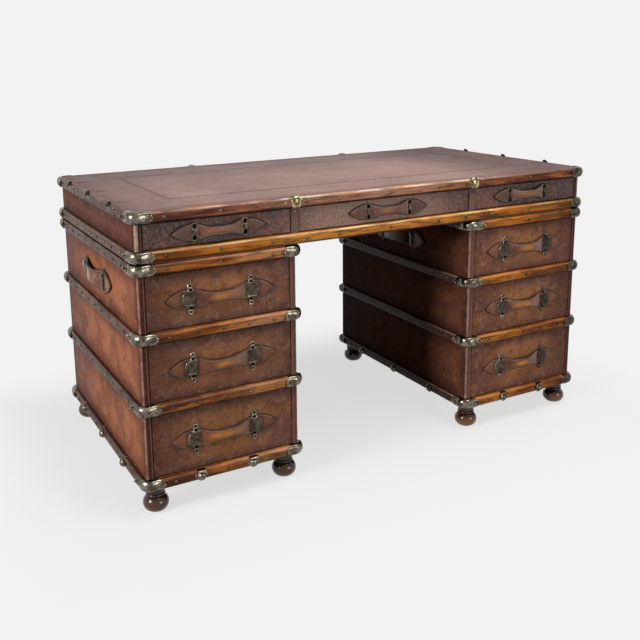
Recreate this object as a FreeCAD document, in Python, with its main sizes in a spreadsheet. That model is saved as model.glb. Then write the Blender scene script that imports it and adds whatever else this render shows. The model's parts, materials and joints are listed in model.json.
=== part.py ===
# Campaign desk: two drawer pedestals and a lift-off top case, built like steamer trunks.
#
# Millimetres, +Z up, X along the width, the drawers open towards -Y. The origin is on the
# floor under the middle of the desk.
import FreeCAD, Part
import math
import os
from types import SimpleNamespace

import Sketcher

OUT = "parts"
SHEET = "dims"
HALF_TURN = 180
QUARTER_TURN = 90
ALONG = 0.9          # how near to an axis an edge runs before it counts as parallel to it
NEAR = 0.01          # how near to a plane, in mm, an edge lies before it counts as on it

# How many there are: nails along one side of a slat, side fittings, tacks on a tongue.
SIDE_NAIL_COUNT = 9
CLOSE_NAIL_COUNT = 5
SPACED_NAIL_COUNT = 3
SIDE_FITTING_COUNT = 3
TACK_COUNT = 4

doc = FreeCAD.newDocument("campaign_desk")

# ---------------------------------------------------------------- driving dimensions

SIZES = [
    # name, millimetres, what it is
    ("desk_width", 1470, "over the corner caps of the top case"),
    ("desk_depth", 745, "over the corner caps, front to back"),
    ("pedestal_width", 460, "over the corner caps of one pedestal"),
    ("foot_height", 70, "floor to the underside of the bottom rail"),
    ("rail_height", 28, "height of every slat"),
    ("low_opening", 170, "bottom drawer, rail to rail"),
    ("middle_opening", 156, "middle drawer, rail to rail"),
    ("high_opening", 144, "upper pedestal drawer, rail to rail"),
    ("top_opening", 68, "drawers of the top case, rail to rail"),
    ("section_gap", 4, "shadow gap between the pedestal and top case rails"),
    ("seat_gap", 0.3, "clearance between top case and pedestal"),
    ("cap_sheet", 1.6, "metal of the corner caps"),
    ("cap_leg", 56, "reach of a corner cap along each side"),
    ("cap_end_round", 15, "rounding of the ends of a cap"),
    ("rail_thickness", 12, "how far the slats stand out from the leather"),
    ("rail_corner", 28, "plan radius of the slats at a corner"),
    ("rail_round", 7, "rounding of the long edges of the slats"),
    ("leather", 1.5, "leather covering"),
    ("body_corner", 10, "plan radius of the leather covered corners"),
    ("wall", 18, "side walls"),
    ("back_wall", 12, "back walls"),
    ("board", 18, "bottom boards, dust boards and pedestal tops"),
    ("case_board", 15, "bottom board of the top case"),
    ("top_board", 20, "board under the writing leather"),
    ("divider", 22, "upright dividers between the top drawers"),
    ("divider_offset", 292.5, "middle of a divider from the middle of the desk"),
    ("lip_depth", 18, "front strips that close the space beside a board"),
    ("guide_width", 14, "runners and kickers along the drawer sides"),
    ("runner_rise", 2, "runners above the rail they lie behind"),
    ("stop_width", 30, "drawer stop blocks on the back wall"),
    ("stop_height", 24, "height of the drawer stop blocks"),
    ("foot_block", 60, "glue blocks above the feet"),
    ("drawer_gap", 1.5, "gap at each side of a drawer front"),
    ("cap_clearance", 0.7, "drawer front to the corner caps above and below it"),
    ("drawer_side_gap", 2, "running clearance beside a drawer box"),
    ("drawer_run", 0.3, "running clearance under a drawer box"),
    ("drawer_headroom", 8, "clearance above a drawer box"),
    ("stop_depth", 44, "depth of the drawer stop blocks, front to back"),
    ("stop_gap", 0.3, "back of a drawer box to its stop blocks"),
    ("front_thickness", 20, "drawer fronts"),
    ("front_round", 2.5, "rolled leather edge of a drawer front"),
    ("box_wall", 12, "sides and back of a drawer box"),
    ("box_bottom", 6, "drawer bottoms"),
    ("box_inset", 6, "underside of a drawer bottom above the box edge"),
    ("foot_width", 67, "turned bun feet"),
    ("foot_inset", 45, "foot axis from both sides of the pedestal"),
    ("foot_pad", 18, "radius of the flat that a foot stands on"),
    ("bun_height", 42, "height of the bun below its collar"),
    ("bead_radius", 25, "bead round the top of the bun"),
    ("bead_height", 6, "height of that bead"),
    ("collar_neck", 21, "groove above and below the bead"),
    ("collar_groove", 2.5, "height of the upper groove"),
    ("collar_radius", 24, "collar under the corner cap"),
    ("peg_radius", 10, "locating pegs on the pedestal tops"),
    ("peg_height", 12, "how far a peg stands up"),
    ("peg_taper", 3, "taper at the tip of a peg"),
    ("peg_clearance", 0.4, "peg to hole, on the radius"),
    ("peg_inset", 75, "peg axis from the sides of the pedestal"),
    ("strap_leather", 4, "thickness of the straps"),
    ("pull_length", 300, "pedestal drawer pull, tip to tip"),
    ("pull_lobe", 55, "its widest part"),
    ("pull_waist", 31, "its grip"),
    ("pull_bow", 16, "finger gap behind it"),
    ("pull_span", 174, "between its keepers"),
    ("top_pull_length", 262, "top drawer pull, tip to tip"),
    ("top_pull_lobe", 46, "its widest part"),
    ("top_pull_waist", 26, "its grip"),
    ("top_pull_bow", 13, "finger gap behind it"),
    ("top_pull_span", 136, "between its keepers"),
    ("carry_length", 300, "side carry handle, tip to tip"),
    ("carry_lobe", 62, "its widest part"),
    ("carry_waist", 44, "its grip"),
    ("carry_bow", 20, "hand gap behind it"),
    ("carry_span", 168, "between its keepers"),
    ("grip_share", 0.2, "straight part of a grip as a share of the strap"),
    ("keeper_width", 36, "plate of a pedestal keeper"),
    ("keeper_plate", 36, "height of that plate"),
    ("keeper_round", 13, "rounding of the plate towards the strap's tip"),
    ("keeper_metal", 2.5, "metal of the keepers"),
    ("keeper_play", 0.3, "keeper to strap"),
    ("keeper_lug", 4, "radius of the screw lugs"),
    ("lug_gap", 0.5, "lug to the edge of the strap"),
    ("keeper_neck", 16, "width of the neck between plate and lug"),
    ("keeper_slot", 9, "width of the slot in the neck"),
    ("slotted_width", 19, "keepers of the top drawers and carry handles"),
    ("slotted_rim", 4, "metal left round their slots"),
    ("slotted_stud", 5.5, "radius of the stud between the slots"),
    ("stud_rise", 1.5, "how far that stud stands up"),
    ("stud_margin", 1, "metal left round the stud"),
    ("nail_radius", 4.6, "collar of a nail"),
    ("nail_collar", 0.7, "thickness of the collar"),
    ("nail_dome", 3.4, "radius of the dome"),
    ("nail_rise", 3.1, "height of a nail"),
    ("tack_radius", 2.4, "small tacks along a tongue"),
    ("tack_rise", 1.2, "height of a tack"),
    ("nail_pitch", 71.5, "nails along the front and back slats"),
    ("side_nail_pitch", 68.5, "nails along the side slats"),
    ("cap_nail", 12, "nail of a cap from the end of the cap"),
    ("bracket_width", 34, "cast brackets on the bottom rail"),
    ("bracket_height", 25, "height of a bracket"),
    ("bracket_metal", 4, "plate of a bracket"),
    ("bracket_flange", 2, "its flange over the top of a side rail"),
    ("fitting_gap", 0.3, "clearance between that flange and the leather"),
    ("screw_hole", 2.6, "radius of the screw holes in a flange"),
    ("bolt_radius", 9, "domed bolt of a bracket"),
    ("bolt_rise", 5, "rise of that dome"),
    ("bracket_spread", 74, "front brackets from the middle of a pedestal"),
    ("side_pitch", 200, "brackets and edge bands along a side"),
    ("clasp_width", 36, "brass clasps over the top rail"),
    ("clasp_metal", 3, "metal of the clasps"),
    ("clasp_drop", 28, "how far a clasp hangs over the edge"),
    ("clasp_reach", 26, "how far it reaches over the top"),
    ("clasp_boss", 11, "radius of the rounded boss on its face"),
    ("clasp_boss_rise", 3, "rise of that boss"),
    ("clasp_spacing", 30, "nail beside a clasp, from its middle"),
    ("band_width", 40, "dark bands over the side rails"),
    ("band_metal", 2, "metal of the bands"),
    ("band_drop", 27, "how far a band hangs over the edge"),
    ("band_reach", 22, "how far it reaches over the top"),
    ("band_boss", 3.5, "how far the domed boss on its edge stands out"),
    ("pair_offset", 45, "pair of nails in front of a band"),
    ("pair_spread", 15, "between the two nails of a pair"),
    ("tongue_length", 60, "narrow tongue of a band on the writing leather"),
    ("tongue_width", 14, "width of that tongue"),
    ("stile_width", 22, "leather stiles over the dividers"),
    ("stile_leather", 2, "thickness of a stile"),
    ("border_inset", 136, "tooled border of the writing leather from the slats"),
    ("border_line", 1.2, "width of the tooled line"),
]

sheet = doc.addObject("Spreadsheet::Sheet", SHEET)
for row, (name, number, meaning) in enumerate(SIZES, start=1):
    sheet.set(f"A{row}", meaning)
    sheet.set(f"B{row}", str(number))
    sheet.setAlias(f"B{row}", name)
doc.recompute()


class Size:
    """A length: its number now, and the sheet expression that keeps it live."""

    def __init__(self, number, text):
        self.number = number
        self.text = text

    def __add__(self, other):
        other = size(other)
        return Size(self.number + other.number, f"({self.text} + {other.text})")

    def __sub__(self, other):
        other = size(other)
        return Size(self.number - other.number, f"({self.text} - {other.text})")

    def __mul__(self, other):
        other = size(other)
        return Size(self.number * other.number, f"({self.text} * {other.text})")

    def __truediv__(self, other):
        other = size(other)
        return Size(self.number / other.number, f"({self.text} / {other.text})")

    def __neg__(self):
        return Size(-self.number, f"(-1 * {self.text})")

    def __rsub__(self, other):
        return size(other) - self

    __radd__ = __add__
    __rmul__ = __mul__


def size(value):
    """The value as a Size, so that plain numbers and Sizes can be mixed."""
    if isinstance(value, Size):
        return value
    return Size(float(value), f"{float(value):.6f}")


d = SimpleNamespace(**{name: Size(sheet.get(name), f"{SHEET}.{name}") for name, _, _ in SIZES})

# Planes that many pieces share, from the driving dimensions.
HALF_DEPTH = d.desk_depth / 2
HALF_WIDTH = d.desk_width / 2
SETBACK = d.cap_sheet + d.rail_thickness            # cap face to leather face
WOOD = SETBACK + d.leather                          # cap face to carcass wood
FACE = SETBACK - HALF_DEPTH                         # leather plane at the front
PEDESTAL_X = HALF_WIDTH - d.pedestal_width / 2      # middle of a pedestal

LOW_RAIL = d.foot_height
LOW_FLOOR = LOW_RAIL + d.rail_height
MIDDLE_RAIL = LOW_FLOOR + d.low_opening
MIDDLE_FLOOR = MIDDLE_RAIL + d.rail_height
HIGH_RAIL = MIDDLE_FLOOR + d.middle_opening
HIGH_FLOOR = HIGH_RAIL + d.rail_height
CROWN_RAIL = HIGH_FLOOR + d.high_opening
CROWN_TOP = CROWN_RAIL + d.rail_height
CASE_RAIL = CROWN_TOP + d.section_gap
CASE_FLOOR = CASE_RAIL + d.rail_height
TOP_RAIL = CASE_FLOOR + d.top_opening
DESK_TOP = TOP_RAIL + d.rail_height
PEDESTAL_TOP = CROWN_TOP + (d.section_gap - d.seat_gap) / 2
CASE_BOTTOM = PEDESTAL_TOP + d.seat_gap
BOARD_UNDER = DESK_TOP - d.leather - d.top_board
INSIDE_BACK = HALF_DEPTH - WOOD - d.back_wall       # front face of every back wall
DRAWER_DEPTH = INSIDE_BACK - d.stop_depth - d.stop_gap - FACE

# Each drawer of a pedestal: name, floor, opening height.
TIERS = [
    ("lower", LOW_FLOOR, d.low_opening),
    ("middle", MIDDLE_FLOOR, d.middle_opening),
    ("upper", HIGH_FLOOR, d.high_opening),
]
PEDESTAL_RAILS = [LOW_RAIL, MIDDLE_RAIL, HIGH_RAIL, CROWN_RAIL]
CASE_RAILS = [CASE_RAIL, TOP_RAIL]

# The turns, about Z, that carry a piece made for the front round to each side.
FRONT, RIGHT, BACK, LEFT = 0, QUARTER_TURN, HALF_TURN, -QUARTER_TURN
# The turns, about Z, from the front left corner to each corner of a section.
CORNERS = [(-1, -1, 0), (1, -1, QUARTER_TURN), (1, 1, HALF_TURN), (-1, 1, -QUARTER_TURN)]

nodes = []

# ---------------------------------------------------------------- helpers


def bind(thing, **lengths):
    """Ties properties of an object to the sheet."""
    for prop, length in lengths.items():
        thing.setExpression(prop, size(length).text)
    return thing


def place(thing, x=0, y=0, z=0, turn=0, axis=(0, 0, 1)):
    """Turns an object about an axis and ties its position to the sheet."""
    thing.Placement = FreeCAD.Placement(
        FreeCAD.Vector(size(x).number, size(y).number, size(z).number),
        FreeCAD.Rotation(FreeCAD.Vector(*axis), turn),
    )
    for letter, length in zip("xyz", (x, y, z)):
        thing.setExpression(f"Placement.Base.{letter}", size(length).text)
    return thing


def between(low, high):
    """The length from one coordinate to another."""
    return size(high) - size(low)


def plank(name, x, y, z):
    """A board between two corners, each coordinate given as (low, high)."""
    box = doc.addObject("Part::Box", name)
    bind(box, Length=between(*x), Width=between(*y), Height=between(*z))
    return place(box, x[0], y[0], z[0])


def upright(edge):
    """True for an edge parallel to Z."""
    return abs(edge.tangentAt(edge.FirstParameter).z) > ALONG


def level(edge):
    """True for an edge square to Z."""
    return not upright(edge)


def on_front(edge):
    """True for an edge in the plane y = 0 of its body."""
    box = edge.BoundBox
    return max(abs(box.YMin), abs(box.YMax)) < NEAR


def on_left(edge):
    """True for an edge in the plane x = 0 of its body."""
    box = edge.BoundBox
    return max(abs(box.XMin), abs(box.XMax)) < NEAR


def front_upright(edge):
    return upright(edge) and on_front(edge)


def front_level(edge):
    return level(edge) and on_front(edge)


def corner_upright(edge):
    return upright(edge) and on_front(edge) and on_left(edge)


def corner_level(edge):
    return level(edge) and (on_front(edge) or on_left(edge))


def end_level(edge):
    """True for the level edges of the two faces away from x = 0 and y = 0."""
    return level(edge) and not on_front(edge) and not on_left(edge)


def along_y(edge):
    return abs(edge.tangentAt(edge.FirstParameter).y) > ALONG


def lower_along_y(edge):
    return along_y(edge) and abs(edge.BoundBox.ZMin) < NEAR


def left_along_y(edge):
    return along_y(edge) and on_left(edge)


def right_along_y(edge):
    return along_y(edge) and not on_left(edge)


def fold(edge):
    """True for the long top edge over the front of a folded fitting."""
    along_x = abs(edge.tangentAt(edge.FirstParameter).x) > ALONG
    return along_x and on_front(edge) and edge.BoundBox.ZMin > NEAR


def outer_left(edge):
    return upright(edge) and on_left(edge)


def outer_right(edge):
    return upright(edge) and not on_left(edge)


def block(name, x, y, z, *roundings):
    """A board whose chosen edges are rounded: each rounding is (picker, radius).

    The body's own frame has its corner at the low corner of the board.
    """
    body = doc.addObject("PartDesign::Body", name)
    box = body.newObject("PartDesign::AdditiveBox", f"{name}_blank")
    bind(box, Length=between(*x), Width=between(*y), Height=between(*z))
    base = box
    for step, (picker, radius) in enumerate(roundings):
        doc.recompute()
        picked = [f"Edge{i}" for i, edge in enumerate(base.Shape.Edges, start=1) if picker(edge)]
        fillet = body.newObject("PartDesign::Fillet", f"{name}_round{step}")
        fillet.Base = (base, picked)
        bind(fillet, Radius=radius)
        base = fillet
    return place(body, x[0], y[0], z[0])


def cut(name, base, tool):
    result = doc.addObject("Part::Cut", name)
    result.Base = base
    result.Tool = tool
    return result


def common(name, base, tool):
    result = doc.addObject("Part::Common", name)
    result.Base = base
    result.Tool = tool
    return result


def fuse(name, pieces):
    result = doc.addObject("Part::MultiFuse", name)
    result.Shapes = pieces
    return result


def group(name, pieces):
    """Several separate solids kept together."""
    result = doc.addObject("Part::Compound", name)
    result.Links = pieces
    return result


def copy(name, master, x=0, y=0, z=0, turn=0, axis=(0, 0, 1)):
    """Another of the same piece, somewhere else."""
    link = doc.addObject("App::Link", name)
    link.LinkedObject = master
    return place(link, x, y, z, turn, axis)


def node(label, pieces, x=0, y=0, z=0):
    """A sub-part that is written to its own file."""
    whole = group(f"{label}_solids", pieces)
    part = copy(label, whole, x, y, z)
    part.Label = label
    nodes.append(part)
    return part


def plane_of(body, role):
    return next(feature for feature in body.Origin.OriginFeatures if feature.Role == role)


def arc_between(start, end, radius, left):
    """The short arc of a radius from start to end, bulging to the left or the right."""
    chord = end - start
    middle = (start + end) * 0.5
    normal = FreeCAD.Vector(-chord.y, chord.x, 0).normalize()
    depth = math.sqrt(max(radius ** 2 - (chord.Length / 2) ** 2, 0))
    centre = middle - normal * depth if left else middle + normal * depth
    first, last = (end, start) if left else (start, end)
    angles = [math.atan2(point.y - centre.y, point.x - centre.x) for point in (first, last)]
    circle = Part.Circle(centre, FreeCAD.Vector(0, 0, 1), radius)
    return Part.ArcOfCircle(circle, angles[0], angles[1])


def outline(body, name, role, corners):
    """A closed sketch on one of the body's origin planes.

    corners holds (u, v) for a straight edge to the next corner, or (u, v, radius, left) for
    an arc of that radius. Every corner and radius is tied to the sheet.
    """
    sketch = body.newObject("Sketcher::SketchObject", name)
    sketch.AttachmentSupport = [(plane_of(body, role), "")]
    sketch.MapMode = "FlatFace"
    points = [FreeCAD.Vector(size(c[0]).number, size(c[1]).number, 0) for c in corners]
    start_of = []
    end_of = []
    for i, corner in enumerate(corners):
        start = points[i]
        end = points[(i + 1) % len(points)]
        if len(corner) == 2:
            edge = sketch.addGeometry(Part.LineSegment(start, end), False)
            start_of.append((edge, 1))
            end_of.append((edge, 2))
        else:
            radius, left = corner[2:]
            arc = arc_between(start, end, size(radius).number, left)
            edge = sketch.addGeometry(arc, False)
            start_of.append((edge, 2 if left else 1))
            end_of.append((edge, 1 if left else 2))
            fixed = sketch.addConstraint(Sketcher.Constraint("Radius", edge, size(radius).number))
            sketch.setExpression(f"Constraints[{fixed}]", size(radius).text)
    for i, corner in enumerate(corners):
        sketch.addConstraint(Sketcher.Constraint("Coincident", *end_of[i - 1], *start_of[i]))
        for kind, length in zip(("DistanceX", "DistanceY"), corner):
            rule = Sketcher.Constraint(kind, *start_of[i], size(length).number)
            fixed = sketch.addConstraint(rule)
            sketch.setExpression(f"Constraints[{fixed}]", size(length).text)
    return sketch


def pad(name, role, corners, length):
    """An outline padded to a solid."""
    body = doc.addObject("PartDesign::Body", name)
    sketch = outline(body, f"{name}_outline", role, corners)
    feature = body.newObject("PartDesign::Pad", f"{name}_pad")
    feature.Profile = sketch
    bind(feature, Length=length)
    return body


def turned(name, corners):
    """A profile in the XZ plane, (radius, height), revolved about Z."""
    body = doc.addObject("PartDesign::Body", name)
    sketch = outline(body, f"{name}_profile", "XZ_Plane", corners)
    feature = body.newObject("PartDesign::Revolution", f"{name}_turning")
    feature.Profile = sketch
    feature.ReferenceAxis = (sketch, ["V_Axis"])
    feature.Angle = 2 * HALF_TURN
    return body


# ---------------------------------------------------------------- slats and corner caps


def mitre(name, length, reach):
    """The trapezium that a slat keeps when both its ends are cut at 45 degrees."""
    wedge = doc.addObject("Part::Wedge", name)
    bind(wedge, Xmin=0, Xmax=length, X2min=reach, X2max=length - reach)
    bind(wedge, Ymin=0, Ymax=reach)
    bind(wedge, Zmin=0, Zmax=d.rail_height, Z2min=0, Z2max=d.rail_height)
    return wedge


def slat(name, length):
    """One side of a rail: mitred, rounded at both corners, its outer face at y = 0."""
    room = d.rail_corner * 2
    stock = block(f"{name}_stock", (0, length), (0, room), (0, d.rail_height),
                  (front_upright, d.rail_corner), (front_level, d.rail_round))
    body = block(f"{name}_body", (d.rail_thickness, length - d.rail_thickness),
                 (d.rail_thickness, room + d.rail_corner), (-d.rail_height, d.rail_height * 2),
                 (upright, d.body_corner))
    ends = mitre(f"{name}_mitre", length, room)
    return common(f"{name}_slat", cut(f"{name}_bar", stock, body), ends)


def rail_pieces(name, front, side, width, level_z):
    """The four slats of one rail of a section centred on x = 0."""
    out_x = width / 2 - d.cap_sheet
    out_y = HALF_DEPTH - d.cap_sheet
    return [
        copy(f"{name}_front", front, -out_x, -out_y, level_z, FRONT),
        copy(f"{name}_right", side, out_x, -out_y, level_z, RIGHT),
        copy(f"{name}_back", front, out_x, out_y, level_z, BACK),
        copy(f"{name}_left", side, -out_x, out_y, level_z, LEFT),
    ]


def corner_cap():
    """A pressed metal cap over the corner of a rail, its corner at the origin."""
    room = d.cap_leg * 2
    low = -d.cap_sheet
    high = d.rail_height + d.cap_sheet
    shell = block("cap_shell", (0, room), (0, room), (low, high),
                  (corner_upright, d.rail_corner + d.cap_sheet),
                  (corner_level, d.rail_round + d.cap_sheet))
    wood = block("cap_wood", (d.cap_sheet, room + d.cap_leg), (d.cap_sheet, room + d.cap_leg),
                 (0, d.rail_height),
                 (corner_upright, d.rail_corner), (corner_level, d.rail_round))
    body = block("cap_body", (SETBACK, room + d.cap_leg), (SETBACK, room + d.cap_leg),
                 (low * 2, high * 2), (corner_upright, d.body_corner))
    legs = block("cap_legs", (0, d.cap_leg), (0, d.cap_leg), (low, high),
                 (end_level, d.cap_end_round))
    sheet_metal = cut("cap_sheet_metal", cut("cap_hollow", shell, wood), body)
    return common("corner_cap", sheet_metal, legs)


def cap_pieces(name, master, width, level_z):
    """The four caps of one rail of a section centred on x = 0."""
    return [
        copy(f"{name}_cap{i}", master, sx * width / 2, sy * HALF_DEPTH, level_z, turn)
        for i, (sx, sy, turn) in enumerate(CORNERS)
    ]


# ---------------------------------------------------------------- nails, feet, pegs


def dome_radius(base, rise):
    """The sphere of a dome, from the radius of its base and its height."""
    return (base * base + rise * rise) / (rise * 2)


def dome(name, base, rise, out):
    """A dome towards -Y whose flat side is at y = -out."""
    solid = turned(name, [
        (0, 0),
        (base, 0, dome_radius(base, rise), False),
        (0, rise),
    ])
    return place(solid, 0, -out, 0, QUARTER_TURN, (1, 0, 0))


def nail():
    """A domed nail with a flat collar, seated on y = 0 with its head towards -Y."""
    head = turned("nail_head", [
        (0, 0),
        (d.nail_radius, 0),
        (d.nail_radius, d.nail_collar),
        (d.nail_dome, d.nail_collar, dome_radius(d.nail_dome, d.nail_rise - d.nail_collar), False),
        (0, d.nail_rise),
    ])
    return group("nail", [place(head, turn=QUARTER_TURN, axis=(1, 0, 0))])


def tack():
    """A small tack, its flat side down on z = 0."""
    return turned("tack", [
        (0, 0),
        (d.tack_radius, 0, dome_radius(d.tack_radius, d.tack_rise), False),
        (0, d.tack_rise),
    ])


def front_nails(name, master, spots, half_depth, level_z):
    """Nails at the x positions in spots, on the front slat and on the back one."""
    middle = level_z + d.rail_height / 2
    pieces = []
    for i, x in enumerate(spots):
        pieces.append(copy(f"{name}_front{i}", master, x, -half_depth, middle, FRONT))
        pieces.append(copy(f"{name}_back{i}", master, x, half_depth, middle, BACK))
    return pieces


def side_nails(name, master, spots, half_width, level_z):
    """Nails at the y positions in spots, on the left slat and on the right one."""
    middle = level_z + d.rail_height / 2
    pieces = []
    for i, y in enumerate(spots):
        pieces.append(copy(f"{name}_left{i}", master, -half_width, y, middle, LEFT))
        pieces.append(copy(f"{name}_right{i}", master, half_width, y, middle, RIGHT))
    return pieces


def row(count, pitch):
    """Evenly spaced positions about 0."""
    return [pitch * (i - (count - 1) / 2) for i in range(count)]


def cap_nails(name, master, width, level_z):
    """The nails that hold the ends of the four caps of one rail."""
    along = d.cap_leg - d.cap_nail
    across = [width / 2 - along, along - width / 2]
    deep = [HALF_DEPTH - along, along - HALF_DEPTH]
    return (front_nails(f"{name}_cap_f", master, across, HALF_DEPTH, level_z)
            + side_nails(f"{name}_cap_s", master, deep, width / 2, level_z))


def swell(wide, narrow, rise):
    """Radius of the arc that leaves the widest point upright and narrows over a rise."""
    inward = wide - narrow
    return (inward * inward + rise * rise) / (inward * 2)


def foot():
    """A turned bun foot with a bead and a collar above it."""
    half = d.foot_width / 2
    waist = d.bun_height / 2
    bead_top = d.bun_height + d.bead_height
    bead = swell(d.bead_radius, d.collar_neck, d.bead_height / 2)
    return turned("foot", [
        (0, 0),
        (d.foot_pad, 0, swell(half, d.foot_pad, waist), False),
        (half, waist, swell(half, d.collar_neck, waist), False),
        (d.collar_neck, d.bun_height, bead, False),
        (d.bead_radius, d.bun_height + d.bead_height / 2, bead, False),
        (d.collar_neck, bead_top),
        (d.collar_neck, bead_top + d.collar_groove),
        (d.collar_radius, bead_top + d.collar_groove),
        (d.collar_radius, d.foot_height),
        (0, d.foot_height),
    ])


def peg():
    """A locating peg with a tapered tip."""
    return turned("peg", [
        (0, 0),
        (d.peg_radius, 0),
        (d.peg_radius, d.peg_height - d.peg_taper),
        (d.peg_radius - d.peg_taper / 2, d.peg_height),
        (0, d.peg_height),
    ])


def peg_places(centre):
    """Where the four pegs of a pedestal stand."""
    reach_x = d.pedestal_width / 2 - d.peg_inset
    reach_y = HALF_DEPTH - d.peg_inset
    return [(centre + sx * reach_x, sy * reach_y) for sx, sy, _ in CORNERS]


# ---------------------------------------------------------------- straps and keepers


def strap(name, length, lobe, waist, bow, span, keeper_width):
    """A leather strap pointed at both ends, flat on y = 0 and bowed out to -Y between keepers."""
    tip = length / 2
    hold = span / 2
    grip = length * d.grip_share / 2
    reach = tip - hold
    half = lobe / 2
    point = (reach * reach + half * half) / lobe
    shape = pad(f"{name}_outline", "XZ_Plane", [
        (-tip, 0, point, True),
        (-hold, half),
        (-grip, waist / 2),
        (grip, waist / 2),
        (hold, half, point, True),
        (tip, 0, point, True),
        (hold, -half),
        (grip, -waist / 2),
        (-grip, -waist / 2),
        (-hold, -half, point, True),
    ], bow + d.strap_leather * 2)
    foot_x = hold - keeper_width / 2 - d.lug_gap
    arc = (foot_x * foot_x + bow * bow) / (bow * 2)
    profile = pad(f"{name}_profile", "XY_Plane", [
        (-tip, 0),
        (-foot_x, 0, arc, False),
        (foot_x, 0),
        (tip, 0),
        (tip, -d.strap_leather),
        (foot_x, -d.strap_leather, arc, True),
        (-foot_x, -d.strap_leather),
        (-tip, -d.strap_leather),
    ], lobe * 2)
    place(profile, z=-lobe)
    return common(name, shape, profile)


def lugged_keeper(name, lobe):
    """A metal keeper over a strap, screwed to the face above and below it.

    Its plate is rounded towards +X, the side of the strap's tip.
    """
    face = -(d.strap_leather + d.keeper_play)
    out = face - d.keeper_metal
    lug_z = lobe / 2 + d.lug_gap + d.keeper_lug
    plate = block(f"{name}_plate", (-d.keeper_width / 2, d.keeper_width / 2), (out, face),
                  (-d.keeper_plate / 2, d.keeper_plate / 2),
                  (right_along_y, d.keeper_round), (left_along_y, d.keeper_metal))
    neck = plank(f"{name}_neck", (-d.keeper_neck / 2, d.keeper_neck / 2), (out, face),
                 (-lug_z, lug_z))
    slot = plank(f"{name}_slot", (-d.keeper_slot / 2, d.keeper_slot / 2), (out * 2, 0),
                 (d.keeper_lug - lug_z, lug_z - d.keeper_lug))
    pieces = [plate, cut(f"{name}_bridge", neck, slot)]
    for sign in (-1, 1):
        lug = doc.addObject("Part::Cylinder", f"{name}_lug")
        bind(lug, Radius=d.keeper_lug, Height=-out)
        pieces.append(place(lug, 0, 0, sign * lug_z, QUARTER_TURN, (1, 0, 0)))
    return fuse(name, pieces)


def slotted_keeper(name, lobe):
    """A narrow keeper as tall as the strap, slotted above and below a domed stud."""
    face = -(d.strap_leather + d.keeper_play)
    out = face - d.keeper_metal
    half = d.slotted_width / 2
    plate = block(f"{name}_plate", (-half, half), (out, face), (-lobe / 2, lobe / 2),
                  (along_y, d.slotted_rim))
    side = half - d.slotted_rim
    near = d.slotted_stud + d.stud_margin
    far = lobe / 2 - d.slotted_rim
    slots = [
        plank(f"{name}_low_slot", (-side, side), (out * 2, 0), (-far, -near)),
        plank(f"{name}_high_slot", (-side, side), (out * 2, 0), (near, far)),
    ]
    frame = cut(f"{name}_frame", plate, group(f"{name}_slots", slots))
    return fuse(name, [frame, dome(f"{name}_stud", d.slotted_stud, d.stud_rise, -out)])


# ---------------------------------------------------------------- edge fittings


def saddle(name, width, metal, drop, reach, *more):
    """Metal folded over the edge of a slat, fused with more pieces on it.

    The slat's corner is at y = 0, z = 0.
    """
    outer = block(f"{name}_outer", (-width / 2, width / 2), (-metal, reach), (-drop, metal),
                  (fold, d.rail_round + metal), (lower_along_y, d.nail_radius))
    wood = block(f"{name}_wood", (-width, width), (0, reach * 2), (-drop * 2, 0),
                 (fold, d.rail_round))
    return cut(name, fuse(f"{name}_whole", [outer, *more]), wood)


def clasp():
    """A brass clasp with a rounded boss."""
    boss = doc.addObject("Part::Cylinder", "clasp_boss_disc")
    bind(boss, Radius=d.clasp_boss, Height=d.clasp_metal + d.clasp_boss_rise)
    place(boss, 0, 0, -d.clasp_drop / 2, QUARTER_TURN, (1, 0, 0))
    return saddle("clasp", d.clasp_width, d.clasp_metal, d.clasp_drop, d.clasp_reach, boss)


def band():
    """A dark band over a side slat, domed on the edge, with a tongue on the writing leather."""
    tongue = plank("band_tongue", (-d.tongue_width / 2, d.tongue_width / 2),
                   (d.rail_round, d.tongue_length), (0, d.band_metal / 2))
    boss = doc.addObject("Part::Sphere", "band_boss")
    bind(boss, Radius=d.rail_round + d.band_metal + d.band_boss)
    place(boss, 0, d.rail_round, -d.rail_round)
    return saddle("band", d.band_width, d.band_metal, d.band_drop, d.band_reach, tongue, boss)


def bracket(name):
    """A cast bracket with a domed bolt, seated on y = 0, its middle at z = 0."""
    plate = block(f"{name}_plate", (-d.bracket_width / 2, d.bracket_width / 2),
                  (-d.bracket_metal, 0), (-d.bracket_height / 2, d.bracket_height / 2),
                  (along_y, d.nail_radius))
    return fuse(name, [plate, dome(f"{name}_bolt", d.bolt_radius, d.bolt_rise, d.bracket_metal)])


def side_bracket():
    """The same bracket with a pierced flange over the top of its slat."""
    top = d.rail_height / 2
    half = d.bracket_width / 2
    reach = d.rail_thickness - d.fitting_gap
    outer = block("flange_outer", (-half, half), (-d.bracket_flange, reach),
                  (0, top + d.bracket_flange), (fold, d.rail_round + d.bracket_flange))
    wood = block("flange_wood", (-half * 2, half * 2), (0, reach * 2), (-top, top),
                 (fold, d.rail_round))
    holes = []
    for sign in (-1, 1):
        hole = doc.addObject("Part::Cylinder", "flange_hole")
        bind(hole, Radius=d.screw_hole, Height=d.rail_height)
        holes.append(place(hole, half / 2 * sign, d.rail_round, 0))
    flange = cut("flange", cut("flange_fold", outer, wood), group("flange_holes", holes))
    return fuse("side_bracket", [bracket("side_bracket_face"), flange])


# ---------------------------------------------------------------- drawers


def drawer_front(name, width, height):
    """A leather covered front, its face at y = 0 and the opening's floor at z = 0."""
    reach = width / 2 - d.drawer_gap
    gap = d.cap_sheet + d.cap_clearance
    return block(f"{name}_front", (-reach, reach), (0, d.front_thickness), (gap, height - gap),
                 (on_front, d.front_round))


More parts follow.
